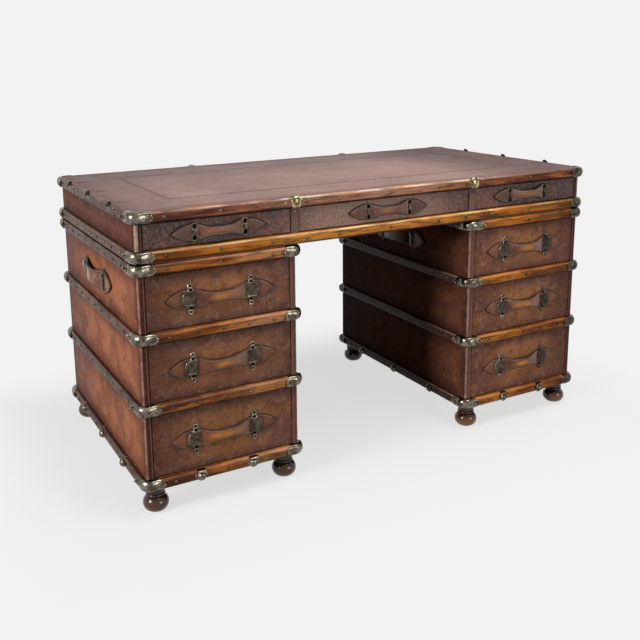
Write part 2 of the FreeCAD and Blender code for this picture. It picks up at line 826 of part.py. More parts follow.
def drawer_box(name, width, height):
    """The four boards behind a front."""
    out = width / 2 - d.drawer_side_gap
    inner = out - d.box_wall
    bottom = d.runner_rise + d.drawer_run
    top = height - d.drawer_headroom
    behind = d.front_thickness
    floor = bottom + d.box_inset
    back = DRAWER_DEPTH - d.box_wall
    return [
        plank(f"{name}_left", (-out, -inner), (behind, DRAWER_DEPTH), (bottom, top)),
        plank(f"{name}_right", (inner, out), (behind, DRAWER_DEPTH), (bottom, top)),
        plank(f"{name}_back", (-inner, inner), (back, DRAWER_DEPTH), (bottom, top)),
        plank(f"{name}_bottom", (-inner, inner), (behind, back), (floor, floor + d.box_bottom)),
    ]


def drawer(label, box, front, pull, keep, span, height, x, floor):
    """The four nodes of one drawer, where it stands shut."""
    middle = floor + height / 2
    node(f"{label}_drawer_front", [front], x, FACE, floor)
    node(f"{label}_drawer_box", box, x, FACE, floor)
    node(f"{label}_drawer_pull", [pull], x, FACE, middle)
    holders = [
        copy(f"{label}_keeper_left", keep, -span / 2, 0, 0, HALF_TURN, (0, 1, 0)),
        copy(f"{label}_keeper_right", keep, span / 2),
    ]
    node(f"{label}_drawer_keepers", holders, x, FACE, middle)


# ---------------------------------------------------------------- carcasses


def skin(name, width, low, high):
    """The leather round a section, open at the front between the posts."""
    outer_x = width / 2 - SETBACK
    outer_y = HALF_DEPTH - SETBACK
    inner_x = outer_x - d.leather
    inner_y = outer_y - d.leather
    post = inner_x - d.wall
    outer = block(f"{name}_outer", (-outer_x, outer_x), (-outer_y, outer_y), (low, high),
                  (upright, d.body_corner))
    inner = block(f"{name}_inner", (-inner_x, inner_x), (-inner_y, inner_y),
                  (low - d.board, high + d.board), (upright, d.body_corner - d.leather))
    gap = plank(f"{name}_gap", (-post, post), (-HALF_DEPTH, -inner_y + d.wall),
                (low - d.board, high + d.board))
    return cut(f"{name}_wrap", cut(f"{name}_tube", outer, inner), gap)


def walls(name, width, low, high):
    """Two side walls with rounded outer corners, and the back between them."""
    out_x = width / 2 - WOOD
    out_y = HALF_DEPTH - WOOD
    in_x = out_x - d.wall
    radius = d.body_corner - d.leather
    return [
        block(f"{name}_left_wall", (-out_x, -in_x), (-out_y, out_y), (low, high),
              (outer_left, radius)),
        block(f"{name}_right_wall", (in_x, out_x), (-out_y, out_y), (low, high),
              (outer_right, radius)),
        plank(f"{name}_back_wall", (-in_x, in_x), (out_y - d.back_wall, out_y), (low, high)),
    ]


def side_strips(name, x, low, high):
    """A strip along each side of a drawer bay."""
    deep = (FACE + d.lip_depth, INSIDE_BACK)
    return [
        plank(f"{name}_left", (x[0], x[0] + d.guide_width), deep, (low, high)),
        plank(f"{name}_right", (x[1] - d.guide_width, x[1]), deep, (low, high)),
    ]


def bay_guides(name, x, floor, ceiling, ceiling_over):
    """Front strip and kickers under the board above a drawer bay, and its two stop blocks."""
    pieces = [plank(f"{name}_upper_lip", x, (FACE, FACE + d.lip_depth), (ceiling, ceiling_over))]
    pieces += side_strips(f"{name}_kicker", x, ceiling, ceiling_over)
    reach = (INSIDE_BACK - d.stop_depth, INSIDE_BACK)
    tall = (floor + d.runner_rise, floor + d.stop_height)
    pieces.append(plank(f"{name}_stop_left", (x[0], x[0] + d.stop_width), reach, tall))
    pieces.append(plank(f"{name}_stop_right", (x[1] - d.stop_width, x[1]), reach, tall))
    return pieces


def pedestal_carcass():
    """Walls, boards, guides, foot blocks and pegs of a pedestal centred on x = 0."""
    in_x = d.pedestal_width / 2 - WOOD - d.wall
    across = (-in_x, in_x)
    pieces = walls("pedestal", d.pedestal_width, d.foot_height, PEDESTAL_TOP)
    tops = [LOW_FLOOR, MIDDLE_FLOOR, HIGH_FLOOR, PEDESTAL_TOP]
    for i, top in enumerate(tops):
        pieces.append(plank(f"pedestal_board{i}", across, (FACE, INSIDE_BACK),
                            (top - d.board, top)))
    for i, (name, floor, height) in enumerate(TIERS):
        pieces += side_strips(f"pedestal_{name}_runner", across, floor, floor + d.runner_rise)
        pieces += bay_guides(f"pedestal_{name}", across, floor, floor + height,
                             tops[i + 1] - d.board)
    block_high = LOW_FLOOR - d.board
    for i, (sx, sy, _) in enumerate(CORNERS):
        x = (-in_x, -in_x + d.foot_block) if sx < 0 else (in_x - d.foot_block, in_x)
        y = (FACE, FACE + d.foot_block) if sy < 0 else (INSIDE_BACK - d.foot_block, INSIDE_BACK)
        pieces.append(plank(f"pedestal_foot_block{i}", x, y, (d.foot_height, block_high)))
    pin = peg()
    for i, (x, y) in enumerate(peg_places(size(0))):
        pieces.append(copy(f"pedestal_peg{i}", pin, x, y, PEDESTAL_TOP))
    return pieces


CASE_IN = HALF_WIDTH - WOOD - d.wall                # inner face of the case's side walls
DIVIDER_IN = d.divider_offset - d.divider / 2
DIVIDER_OUT = d.divider_offset + d.divider / 2
BAYS = [
    ("top_left", (-CASE_IN, -DIVIDER_OUT)),
    ("top_centre", (-DIVIDER_IN, DIVIDER_IN)),
    ("top_right", (DIVIDER_OUT, CASE_IN)),
]


def case_carcass():
    """Walls, boards, dividers and guides of the top case."""
    board_top = CASE_BOTTOM + d.case_board
    pieces = walls("case", d.desk_width, CASE_BOTTOM, BOARD_UNDER)
    solid = plank("case_floor", (-CASE_IN, CASE_IN), (FACE, INSIDE_BACK),
                  (CASE_BOTTOM, board_top))
    holes = []
    for side in (-1, 1):
        for i, (x, y) in enumerate(peg_places(side * PEDESTAL_X)):
            hole = doc.addObject("Part::Cylinder", f"case_peg_hole{side + 1}{i}")
            bind(hole, Radius=d.peg_radius + d.peg_clearance, Height=d.case_board * 3)
            holes.append(place(hole, x, y, CASE_BOTTOM - d.case_board))
    pieces.append(cut("case_floor_board", solid, group("case_peg_holes", holes)))
    for side in (-1, 1):
        x = sorted([side * DIVIDER_IN, side * DIVIDER_OUT], key=lambda length: length.number)
        pieces.append(plank(f"case_divider{side + 1}", x, (FACE, INSIDE_BACK),
                            (board_top, BOARD_UNDER)))
    for name, x in BAYS:
        pieces.append(plank(f"case_{name}_lower_lip", x, (FACE, FACE + d.lip_depth),
                            (board_top, CASE_FLOOR)))
        pieces += side_strips(f"case_{name}_runner", x, board_top, CASE_FLOOR + d.runner_rise)
        pieces += bay_guides(f"case_{name}", x, CASE_FLOOR, TOP_RAIL, BOARD_UNDER)
    return pieces


# ---------------------------------------------------------------- the three sections

cap = corner_cap()
brass_nail = nail()
bun_foot = foot()
small_tack = tack()
cast_bracket = bracket("bracket")
folded_bracket = side_bracket()
pedestal_keeper = lugged_keeper("pedestal_keeper", d.pull_lobe)
top_keeper = slotted_keeper("top_keeper", d.top_pull_lobe)
carry_keeper = slotted_keeper("carry_keeper", d.carry_lobe)
pedestal_pull = strap("pedestal_pull", d.pull_length, d.pull_lobe, d.pull_waist, d.pull_bow,
                      d.pull_span, d.keeper_width)
top_pull = strap("top_pull", d.top_pull_length, d.top_pull_lobe, d.top_pull_waist,
                 d.top_pull_bow, d.top_pull_span, d.slotted_width)
carry_handle = strap("carry_handle", d.carry_length, d.carry_lobe, d.carry_waist, d.carry_bow,
                     d.carry_span, d.slotted_width)


def pedestal_rails():
    length = d.pedestal_width - d.cap_sheet * 2
    front = slat("pedestal_front", length)
    side = slat("pedestal_side", d.desk_depth - d.cap_sheet * 2)
    pieces = []
    for i, level_z in enumerate(PEDESTAL_RAILS):
        pieces += rail_pieces(f"pedestal_rail{i}", front, side, d.pedestal_width, level_z)
    return pieces


def pedestal_nails():
    """The bottom and top slats carry widely spaced nails, the two between them close ones."""
    face_y = HALF_DEPTH - d.cap_sheet
    face_x = d.pedestal_width / 2 - d.cap_sheet
    wide = row(SPACED_NAIL_COUNT, d.nail_pitch * 2)
    close = row(CLOSE_NAIL_COUNT, d.nail_pitch)
    pieces = []
    for i, (level_z, spots) in enumerate(zip(PEDESTAL_RAILS, (wide, close, close, wide))):
        name = f"pedestal_nail{i}"
        pieces += front_nails(name, brass_nail, spots, face_y, level_z)
        pieces += side_nails(name, brass_nail, row(SIDE_NAIL_COUNT, d.side_nail_pitch), face_x,
                             level_z)
        pieces += cap_nails(name, brass_nail, d.pedestal_width, level_z)
    return clear_of_brackets(pieces)


def clear_of_brackets(pieces):
    """Leaves out the bottom rail's side nails whose place a bracket takes."""
    middle = LOW_RAIL.number + d.rail_height.number / 2
    clear = d.bracket_width.number / 2 + d.nail_radius.number
    kept = []
    for piece in pieces:
        base = piece.Placement.Base
        on_side = abs(abs(base.x) - d.pedestal_width.number / 2) < d.rail_thickness.number
        on_low_rail = abs(base.z - middle) < NEAR
        taken = any(abs(base.y - y.number) < clear for y in row(SIDE_FITTING_COUNT, d.side_pitch))
        if not (on_side and on_low_rail and taken):
            kept.append(piece)
    return kept


def pedestal_brackets():
    """Two brackets on the front and back of the bottom rail, three on each side."""
    middle = LOW_RAIL + d.rail_height / 2
    face_y = HALF_DEPTH - d.cap_sheet
    face_x = d.pedestal_width / 2 - d.cap_sheet
    pieces = []
    for i, x in enumerate((-d.bracket_spread, d.bracket_spread)):
        pieces.append(copy(f"bracket_front{i}", cast_bracket, x, -face_y, middle, FRONT))
        pieces.append(copy(f"bracket_back{i}", cast_bracket, x, face_y, middle, BACK))
    for i, y in enumerate(row(SIDE_FITTING_COUNT, d.side_pitch)):
        pieces.append(copy(f"bracket_left{i}", folded_bracket, -face_x, y, middle, LEFT))
        pieces.append(copy(f"bracket_right{i}", folded_bracket, face_x, y, middle, RIGHT))
    return pieces


def pedestal_feet():
    reach_x = d.pedestal_width / 2 - d.foot_inset
    reach_y = HALF_DEPTH - d.foot_inset
    return [
        copy(f"foot{i}", bun_foot, sx * reach_x, sy * reach_y)
        for i, (sx, sy, _) in enumerate(CORNERS)
    ]


def carry_pieces():
    """The straps of the two side handles, and their keepers."""
    face_x = d.pedestal_width / 2 - SETBACK
    middle = HIGH_FLOOR + d.high_opening / 2
    straps = []
    keepers = []
    for sign, turn in ((-1, LEFT), (1, RIGHT)):
        straps.append(copy(f"carry{turn}", carry_handle, sign * face_x, 0, middle, turn))
        for end in (-1, 1):
            y = end * d.carry_span / 2
            keepers.append(copy(f"carry{turn}_keeper{end}", carry_keeper, sign * face_x, y,
                                middle, turn))
    return straps, keepers


def pedestals():
    """The solids of a pedestal are made once and stand twice."""
    straps, keepers = carry_pieces()
    metalwork = pedestal_brackets()
    for i, level_z in enumerate(PEDESTAL_RAILS):
        metalwork += cap_pieces(f"pedestal{i}", cap, d.pedestal_width, level_z)
    solids = {
        "carcass": group("pedestal_carcass", pedestal_carcass()),
        "leather": skin("pedestal_skin", d.pedestal_width, d.foot_height, PEDESTAL_TOP),
        "rails": group("pedestal_rails", pedestal_rails()),
        "metalwork": group("pedestal_metalwork", metalwork),
        "nails": group("pedestal_nails", pedestal_nails()),
        "feet": group("pedestal_feet", pedestal_feet()),
        "carry_handles": group("pedestal_carry_handles", straps),
        "carry_keepers": group("pedestal_carry_keepers", keepers),
    }
    width = (d.pedestal_width / 2 - WOOD - d.wall) * 2
    for tier, _, height in TIERS:
        solids[f"{tier} front"] = drawer_front(f"{tier}_drawer", width, height)
        solids[f"{tier} box"] = group(f"{tier}_drawer_box",
                                      drawer_box(f"{tier}_drawer", width, height))
    for side, sign in (("left", -1), ("right", 1)):
        x = sign * PEDESTAL_X
        for kind in ("carcass", "leather", "rails", "metalwork", "nails", "feet",
                     "carry_handles", "carry_keepers"):
            node(f"{side}_pedestal_{kind}", [solids[kind]], x)
        for tier, floor, height in TIERS:
            drawer(f"{side}_{tier}", [solids[f"{tier} box"]], solids[f"{tier} front"],
                   pedestal_pull, pedestal_keeper, d.pull_span, height, x, floor)


def case_front_spots():
    """Where the nails stand along the front and back slats of the top case."""
    spots = [size(0)]
    for sign in (-1, 1):
        spots += [sign * PEDESTAL_X + x for x in row(SPACED_NAIL_COUNT, d.nail_pitch * 2)]
        spots += [sign * (d.divider_offset + x) for x in (-d.clasp_spacing, d.clasp_spacing)]
        spots.append(sign * (d.divider_offset + d.clasp_width) / 2)
    return spots


def case_nails():
    """Nails of both case rails, of the bands and of the stiles."""
    face_y = HALF_DEPTH - d.cap_sheet
    face_x = HALF_WIDTH - d.cap_sheet
    pieces = []
    for i, level_z in enumerate(CASE_RAILS):
        pieces += front_nails(f"case_nail{i}", brass_nail, case_front_spots(), face_y, level_z)
        pieces += cap_nails(f"case_nail{i}", brass_nail, d.desk_width, level_z)
    pieces += side_nails("case_low", brass_nail, row(SIDE_NAIL_COUNT, d.side_nail_pitch), face_x,
                         CASE_RAIL)
    for i, y in enumerate(row(SIDE_FITTING_COUNT, d.side_pitch)):
        for j, rise in enumerate(row(2, d.pair_spread)):
            pieces += side_nails(f"case_pair{i}{j}", brass_nail, [y - d.pair_offset], face_x,
                                 TOP_RAIL + rise)
        pieces += tongue_tacks(f"tack{i}", face_x, y)
    between_bands = [y - d.pair_offset / 2 for y in row(2, d.side_pitch)]
    pieces += side_nails("case_single", brass_nail, between_bands, face_x, TOP_RAIL)
    for sign in (-1, 1):
        pieces.append(copy(f"stile_nail{sign}", brass_nail, sign * d.divider_offset,
                           FACE - d.stile_leather, TOP_RAIL - d.stile_width / 2))
    return pieces


def tongue_tacks(name, face_x, y):
    """The tacks along the tongues of the two bands at y."""
    margin = d.tack_radius * 2
    first = d.tongue_length - margin
    pitch = (first - margin - d.band_reach) / (TACK_COUNT - 1)
    return [
        copy(f"{name}_{i}_{sign}", small_tack, sign * (face_x - first + pitch * i), y,
             DESK_TOP + d.band_metal / 2)
        for i in range(TACK_COUNT)
        for sign in (-1, 1)
    ]


def edge_fittings(name, master, places):
    """Copies of a fitting on the top edge; places holds (x, y, turn)."""
    return [copy(f"{name}{i}", master, x, y, DESK_TOP, turn)
            for i, (x, y, turn) in enumerate(places)]


def writing_leather(half_x, half_y):
    """The leather of the top: a border and a centre, with the tooled line between them."""
    hide = block("top_hide", (-half_x, half_x), (-half_y, half_y),
                 (DESK_TOP - d.leather, DESK_TOP), (upright, d.body_corner))
    line_x = half_x - d.border_inset
    line_y = half_y - d.border_inset
    inside = plank("border_inside", (-line_x, line_x), (-line_y, line_y),
                   (DESK_TOP - d.leather * 2, DESK_TOP + d.leather))
    centre_x = line_x - d.border_line
    centre_y = line_y - d.border_line
    centre = plank("hide_centre", (-centre_x, centre_x), (-centre_y, centre_y),
                   (DESK_TOP - d.leather, DESK_TOP))
    return [cut("hide_border", hide, inside), centre]


def top_case():
    face_y = HALF_DEPTH - d.cap_sheet
    face_x = HALF_WIDTH - d.cap_sheet
    node("top_case_carcass", case_carcass())
    in_x = HALF_WIDTH - SETBACK
    in_y = HALF_DEPTH - SETBACK
    panel = block("top_panel", (-in_x, in_x), (-in_y, in_y), (BOARD_UNDER, DESK_TOP - d.leather),
                  (upright, d.body_corner))
    node("writing_panel", [panel])
    node("writing_leather", writing_leather(in_x, in_y))
    stiles = []
    for sign in (-1, 1):
        middle = sign * d.divider_offset
        stiles.append(plank(f"stile{sign + 1}",
                            (middle - d.stile_width / 2, middle + d.stile_width / 2),
                            (FACE - d.stile_leather, FACE), (CASE_FLOOR, TOP_RAIL)))
    node("top_case_leather",
         [skin("case_skin", d.desk_width, CASE_BOTTOM, BOARD_UNDER)] + stiles)
    front = slat("case_front", d.desk_width - d.cap_sheet * 2)
    side = slat("case_side", d.desk_depth - d.cap_sheet * 2)
    rails = []
    metalwork = []
    for i, level_z in enumerate(CASE_RAILS):
        rails += rail_pieces(f"case_rail{i}", front, side, d.desk_width, level_z)
        metalwork += cap_pieces(f"case{i}", cap, d.desk_width, level_z)
    node("top_case_rails", rails)
    sides = []
    for y in row(SIDE_FITTING_COUNT, d.side_pitch):
        sides.append((-face_x, y, LEFT))
        sides.append((face_x, y, RIGHT))
    metalwork += edge_fittings("edge_band_at", band(), sides)
    node("top_case_metalwork", metalwork)
    ends = []
    for sign in (-1, 1):
        ends.append((sign * d.divider_offset, -face_y, FRONT))
        ends.append((sign * d.divider_offset, face_y, BACK))
    node("brass_clasps", edge_fittings("clasp_at", clasp(), ends))
    node("top_case_nails", case_nails())


def top_drawers():
    masters = {}
    for label, x in BAYS:
        width = between(*x)
        key = "centre" if label == "top_centre" else "side"
        if key not in masters:
            name = f"{key}_top_drawer"
            masters[key] = (
                drawer_front(name, width, d.top_opening),
                group(f"{name}_box", drawer_box(name, width, d.top_opening)),
            )
        front, box = masters[key]
        middle = (size(x[0]) + size(x[1])) / 2
        drawer(label, [box], front, top_pull, top_keeper, d.top_pull_span, d.top_opening,
               middle, CASE_FLOOR)


pedestals()
top_case()
top_drawers()
doc.recompute()

# ---------------------------------------------------------------- checks and files

for thing in doc.Objects:
    if "Invalid" in thing.State or "Error" in thing.State:
        raise RuntimeError(f"{thing.Label} failed to build: {thing.State}")

os.makedirs(OUT, exist_ok=True)
for part in nodes:
    shape = Part.getShape(part)
    if shape.isNull() or not shape.isValid():
        raise RuntimeError(f"{part.Label} has no valid shape")
    shape.exportStep(os.path.join(OUT, f"{part.Label}.step"))
    print(f"{part.Label:32s} {len(shape.Solids):4d} solids {shape.Volume / 1e3:10.1f} cm3")
print(len(nodes), "nodes")
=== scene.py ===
"""Looks of the campaign desk: leather, slats, pressed metal and stitched straps."""
import bpy
import bmesh
import json
from functools import partialmethod, reduce
from math import asin, copysign, cos, pi, radians, sin, sqrt, tau
from mathutils import Matrix, Vector


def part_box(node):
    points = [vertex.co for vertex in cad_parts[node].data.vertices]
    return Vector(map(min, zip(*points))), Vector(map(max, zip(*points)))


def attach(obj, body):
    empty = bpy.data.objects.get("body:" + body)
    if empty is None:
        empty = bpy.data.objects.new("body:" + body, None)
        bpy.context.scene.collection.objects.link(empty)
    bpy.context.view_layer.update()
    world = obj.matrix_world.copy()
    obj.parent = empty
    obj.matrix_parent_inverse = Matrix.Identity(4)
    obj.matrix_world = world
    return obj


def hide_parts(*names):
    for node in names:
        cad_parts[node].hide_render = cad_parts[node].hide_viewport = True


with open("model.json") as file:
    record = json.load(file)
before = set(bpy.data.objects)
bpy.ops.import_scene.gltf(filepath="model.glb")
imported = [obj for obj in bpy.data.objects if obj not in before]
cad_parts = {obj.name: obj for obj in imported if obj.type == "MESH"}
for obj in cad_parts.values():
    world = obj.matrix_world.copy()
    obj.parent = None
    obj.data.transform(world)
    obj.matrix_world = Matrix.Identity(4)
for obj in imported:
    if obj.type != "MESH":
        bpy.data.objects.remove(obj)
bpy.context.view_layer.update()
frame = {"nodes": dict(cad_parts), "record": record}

MM = 0.001
TIERS = ("lower", "middle", "upper")
SIDES = ("left", "right")
TOPS = ("top_left", "top_centre", "top_right")


def span(node, axis):
    """Lowest and highest coordinate of a CAD node along an axis."""
    low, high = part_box(node)
    return low[axis], high[axis]


# Planes of the desk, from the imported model. A bay is the opening round a drawer's front.
SKIN_X = span("left_pedestal_leather", 0)
PEDESTAL_X = -sum(SKIN_X) / 2
PEDESTAL_HALF = (SKIN_X[1] - SKIN_X[0]) / 2
CASE_HALF = span("writing_leather", 0)[1]
DEEP_HALF = span("writing_leather", 1)[1]
DESK_TOP = span("writing_leather", 2)[1]
GAP = 2.3 * MM
PEDESTAL_BAYS = [(a - GAP, b + GAP) for a, b in (span(f"left_{t}_drawer_front", 2) for t in TIERS)]
CASE_BAY = tuple(v + s * GAP for v, s in zip(span("top_centre_drawer_front", 2), (-1, 1)))
# The level where the top case parts from the pedestals, between their slats.
PARTING = CASE_BAY[0] - 0.03


# ---- materials


def tone(code):
    """A colour written as RRGGBB, made linear."""
    parts = [int(code[i:i + 2], 16) / 255 for i in (0, 2, 4)]
    return (*[v / 12.92 if v <= 0.04045 else ((v + 0.055) / 1.055) ** 2.4 for v in parts], 1)


class Wire:
    """A node's output. Arithmetic on it adds Math nodes to its graph."""

    def __init__(self, graph, socket):
        self.graph, self.socket = graph, socket

    def math(self, operation, *others):
        return self.graph.math(operation, self, *others)

    __add__, __sub__ = partialmethod(math, "ADD"), partialmethod(math, "SUBTRACT")
    __mul__, __abs__ = partialmethod(math, "MULTIPLY"), partialmethod(math, "ABSOLUTE")
    least, most = partialmethod(math, "MINIMUM"), partialmethod(math, "MAXIMUM")

    def __rsub__(self, number):
        return self.graph.math("SUBTRACT", number, self)

    def step(self, start, end, low=0, high=1):
        """Eases from low to high as the value goes from start to end."""
        return self.graph.node("MapRange", {0: self, 1: start, 2: end, 3: low, 4: high},
                               interpolation_type="SMOOTHSTEP")


class Graph:
    """Nodes of a material or a world, fed with wires, numbers or colour codes."""

    def __init__(self, owner):
        owner.use_nodes = True
        self.nodes, self.links = owner.node_tree.nodes, owner.node_tree.links
        self.nodes.clear()

    def node(self, kind, feeds=(), out=0, **settings):
        """Adds a node and gives one of its outputs, or the node itself if out is None."""
        made = self.nodes.new(f"ShaderNode{kind}")
        for key, value in settings.items():
            setattr(made, key, value)
        for key, value in dict(feeds).items():
            if isinstance(value, Wire):
                self.links.new(value.socket, made.inputs[key])
            else:
                made.inputs[key].default_value = tone(value) if isinstance(value, str) else value
        return made if out is None else Wire(self, made.outputs[out])

    def math(self, operation, *values):
        return self.node("Math", enumerate(values), operation=operation)


class Paint(Graph):
    """A procedural material. Its colour is laid on in layers, from the first one up."""

    def __init__(self, name, metal=0, specular=0.5, coat=0, coat_roughness=0.1):
        self.material = bpy.data.materials.new(name)
        super().__init__(self.material)
        self.gloss = {"Metallic": metal, "Specular IOR Level": specular, "Coat Weight": coat,
                      "Coat Roughness": coat_roughness}
        self.place = self.node("TexCoord", out="Object")
        self.x, self.y, self.z = self.split(self.place)

    def split(self, vector):
        made = self.node("SeparateXYZ", {0: vector}, None)
        return [Wire(self, socket) for socket in made.outputs]

    def join(self, x, y, z):
        return self.node("CombineXYZ", {0: x, 1: y, 2: z})

    def normal(self):
        return self.split(self.node("NewGeometry", out="Normal"))

    def mix(self, share, first, second):
        return self.node("Mix", {0: share, 2: first, 3: second}, data_type="FLOAT")

    def blend(self, share, first, second):
        return self.node("Mix", {0: share, 6: first, 7: second}, 2, data_type="RGBA")

    def lay(self, share, first, second):
        """The first layer: a blend of two colours."""
        self.colour = self.blend(share, first, second)

    def tint(self, share, colour):
        """A layer over those below it."""
        self.colour = self.blend(share, self.colour, colour)

    def flecks(self, colour, share, grain, start, end):
        """A layer where a noise is high."""
        self.tint(self.noise(*grain).step(start, end, 0, share), colour)

    def scaled(self, x, y, z):
        return self.node("VectorMath", {0: self.place, 1: (x, y, z)}, operation="MULTIPLY")

    def noise(self, scale, detail=3, rough=0.55, vector=None, warp=0):
        return self.node("TexNoise", {"Vector": vector or self.place, "Scale": scale,
                                      "Detail": detail, "Roughness": rough, "Distortion": warp})

    def bump(self, height, strength, depth, under=None):
        feeds = {"Strength": strength, "Distance": depth, "Height": height}
        return self.node("Bump", {**feeds, "Normal": under} if under else feeds)

    def finish(self, roughness, normal):
        feeds = {**self.gloss, "Base Color": self.colour, "Roughness": roughness, "Normal": normal}
        self.node("OutputMaterial", {0: self.node("BsdfPrincipled", feeds)}, None)
        return self.material


def inside(value, spans):
    """How far a coordinate lies inside the nearest of some spans."""
    return reduce(Wire.most, [(value - low).least(high - value) for low, high in spans])


def off_pedestal(paint):
    """Distance in X from the middle of the nearer pedestal."""
    return abs(abs(paint.x) - PEDESTAL_X)


def in_kneehole(paint):
    """1 beside the right pedestal's inner side, below the case and behind the front: where shade
    is painted on.
    """
    beside = inside(paint.x, [(0.24, 0.292)]).step(0, 0.003)
    return beside * paint.z.step(PARTING, PARTING - 0.005) * paint.y.step(-0.33, -0.2)


def leather_grain(paint, pebble, depth, wear=0.5):
    """Pebbled grain with fine wrinkles, as a normal and as masks of worn spots and pebbles."""
    drift = paint.node("TexNoise", {"Vector": paint.place, "Scale": 120}, 1)
    drift = paint.node("VectorMath", {0: drift, "Scale": pebble * MM}, operation="SCALE")
    bent = paint.node("VectorMath", {0: paint.place, 1: drift}, operation="ADD")
    cells = paint.node("TexVoronoi", {"Vector": bent, "Scale": 1 / (pebble * MM)}, "Distance",
                       feature="DISTANCE_TO_EDGE")
    pebbles = cells.step(0, 0.28)
    broad = paint.noise(95, 4, 0.6)
    height = pebbles * 0.5 + (paint.noise(1500, 4, 0.6) * 0.35 + broad * 1.4)
    worn = pebbles * broad.step(wear, wear + 0.17)
    return paint.bump(height, 0.55, depth * MM), worn, pebbles


def body_leather():
    """Walls: dark near their edges, with a painted highlight down the corners, and painted shade
    greying them towards the back and darkening the right pedestal's inner side.
    """
    paint = Paint("body_leather", specular=0.015)
    nx, ny, _ = paint.normal()
    case = paint.z.step(PARTING, PARTING + 0.005)
    half = paint.mix(case, PEDESTAL_HALF - off_pedestal(paint), CASE_HALF - abs(paint.x))
    deep = DEEP_HALF - abs(paint.y)
    facing_x = abs(nx).step(0.45, 0.75)
    edge = inside(paint.z, PEDESTAL_BAYS + [CASE_BAY]).least(paint.mix(facing_x, half, deep))
    centre = (edge + (paint.noise(9, 4, 0.6) - 0.5) * 0.06).step(-0.004, 0.05)
    # Painted highlight: a pale line down the rounded front corners, stronger on the top case.
    corner = (half - case.step(0, 1, 0.001, 0.006)).most(deep).step(0.0065, 0.0025)
    corner *= paint.noise(28, 4).step(0.3, 0.6, 0.3, 1)
    corner *= case.step(0, 1, 0.45, 0.75)
    paint.lay(centre, "542c23", "ae6d4d")
    paint.flecks("6f3e33", 0.6, (17, 5, 0.6), 0.42, 0.62)
    paint.flecks("ac7452", 0.45, (38, 5, 0.7), 0.5, 0.7)
    paint.flecks("5c3229", 0.4, (23, 6, 0.75), 0.52, 0.7)
    # Painted shade: the sides grey and darken towards the back.
    paint.tint(paint.y.step(0.02, 0.33, 0, 0.6) * facing_x, "574549")
    # Painted shade on the right pedestal's inner side, under the top case.
    kneehole = paint.x.step(0.2, 0.28) * nx.step(-0.4, -0.8)
    paint.tint(kneehole * paint.y.step(-0.3, 0, 0.42, 0.52), "1c191f")
    paint.flecks("5e3227", 0.35, (110, 5, 0.7), 0.5, 0.66)
    paint.tint(case, paint.blend(centre, "46261f", "6f4338"))
    front = paint.y.step(0.012 - DEEP_HALF, 0.004 - DEEP_HALF) * abs(ny).step(0.5, 0.9)
    # Painted light and shade: posts and stiles lighter towards the middle of the desk and darker
    # towards its ends.
    post = paint.blend(abs(paint.x).step(0.4, 0.35), "4c2c26", "7d5b4f")
    stile = paint.blend(abs(paint.x).step(0.4, 0.6), "87706a", "2e1d1d")
    paint.tint(front * 0.8, paint.blend(case, post, stile))
    normal, worn, pebbles = leather_grain(paint, 2.8, 0.5)
    paint.tint(worn * 0.22, "c39a80")
    paint.tint(pebbles.step(0.5, 0, 0, 0.3), "3a1c15")
    # The painted corner highlight.
    paint.tint(corner, "d0b0a0")
    # Painted highlight: a pale line along each front post, beside the drawer opening.
    hem_highlight = abs(half - 0.0165).step(0.0016, 0.0006)
    paint.tint(hem_highlight * front * 0.4, "a98676")
    return paint.finish(paint.noise(30, 3).step(0.3, 0.7, 0.36, 0.52), normal)


def drawer_leather():
    """Pedestal drawer fronts: dark rubbed edges, purple-brown turning orange in patches."""
    paint = Paint("drawer_leather", specular=0.12)
    height = inside(paint.z, PEDESTAL_BAYS)
    edge = height.least(PEDESTAL_HALF - 0.0195 - off_pedestal(paint))
    edge += (paint.noise(10, 4, 0.6) - 0.5) * 0.05
    paint.lay(edge.step(-0.006, 0.03), "593b33", "865b4e")
    # Painted shade: the right pedestal's drawers darker.
    paint.tint(paint.x.step(0, 0.3, 0, 0.3), "6b3522")
    warm = paint.noise(11, 4, 0.6, paint.scaled(0.6, 1, 1)).step(0.42, 0.62)
    warm *= height.step(0.004, 0.045)
    paint.tint(warm * paint.x.step(-0.3, 0.3, 0.55, 0.7), "9c6133")
    core = off_pedestal(paint).step(0.17, 0.03) * height.step(0, 0.05)
    core *= paint.noise(15, 5, 0.65).step(0.36, 0.6, 0.3, 1)
    paint.tint(core * 0.85, "ca8650")
    paint.flecks("55342e", 0.6, (30, 6, 0.7), 0.47, 0.64)
    paint.flecks("b58c72", 0.55, (46, 5, 0.7), 0.5, 0.68)
    paint.flecks("4a2b24", 0.45, (130, 5, 0.7), 0.5, 0.66)
    # Painted shade towards the outer ends of the desk.
    paint.tint(abs(paint.x).step(0.58, 0.7, 0, 0.5), "4a2a23")
    normal, worn, pebbles = leather_grain(paint, 2.6, 0.5)
    paint.tint(worn * 0.25, "b98f78")
    paint.tint(pebbles.step(0.5, 0, 0, 0.3), "30180f")
    return paint.finish(paint.noise(30, 3).step(0.3, 0.7, 0.38, 0.55), normal)


def top_drawer_leather():
    """Top drawer fronts: coarse dark grain, rubbed pale on the high spots."""
    paint = Paint("top_drawer_leather", specular=0.25)
    paint.lay(paint.noise(13, 4, 0.6).step(0.4, 0.6), "4d3733", "7d4d3b")
    paint.flecks("3e2d2b", 0.5, (26, 5, 0.7), 0.48, 0.7)
    # Painted light and shade: lighter in the middle of the case, darker towards its ends.
    off = abs(paint.x + 0.05)
    paint.tint(off.step(0.32, 0.14, 0, 0.8), "b58c7b")
    paint.tint(off.step(0.45, 0.65, 0, 0.5), "382220")
    normal, worn, pebbles = leather_grain(paint, 3.4, 0.7, 0.45)
    paint.tint(worn * 0.5, "bba69c")
    paint.flecks("35221f", 0.5, (150, 5, 0.7), 0.48, 0.64)
    paint.tint(pebbles.step(0.5, 0, 0, 0.4), "241613")
    return paint.finish(paint.noise(30, 3).step(0.3, 0.7, 0.36, 0.52), normal)


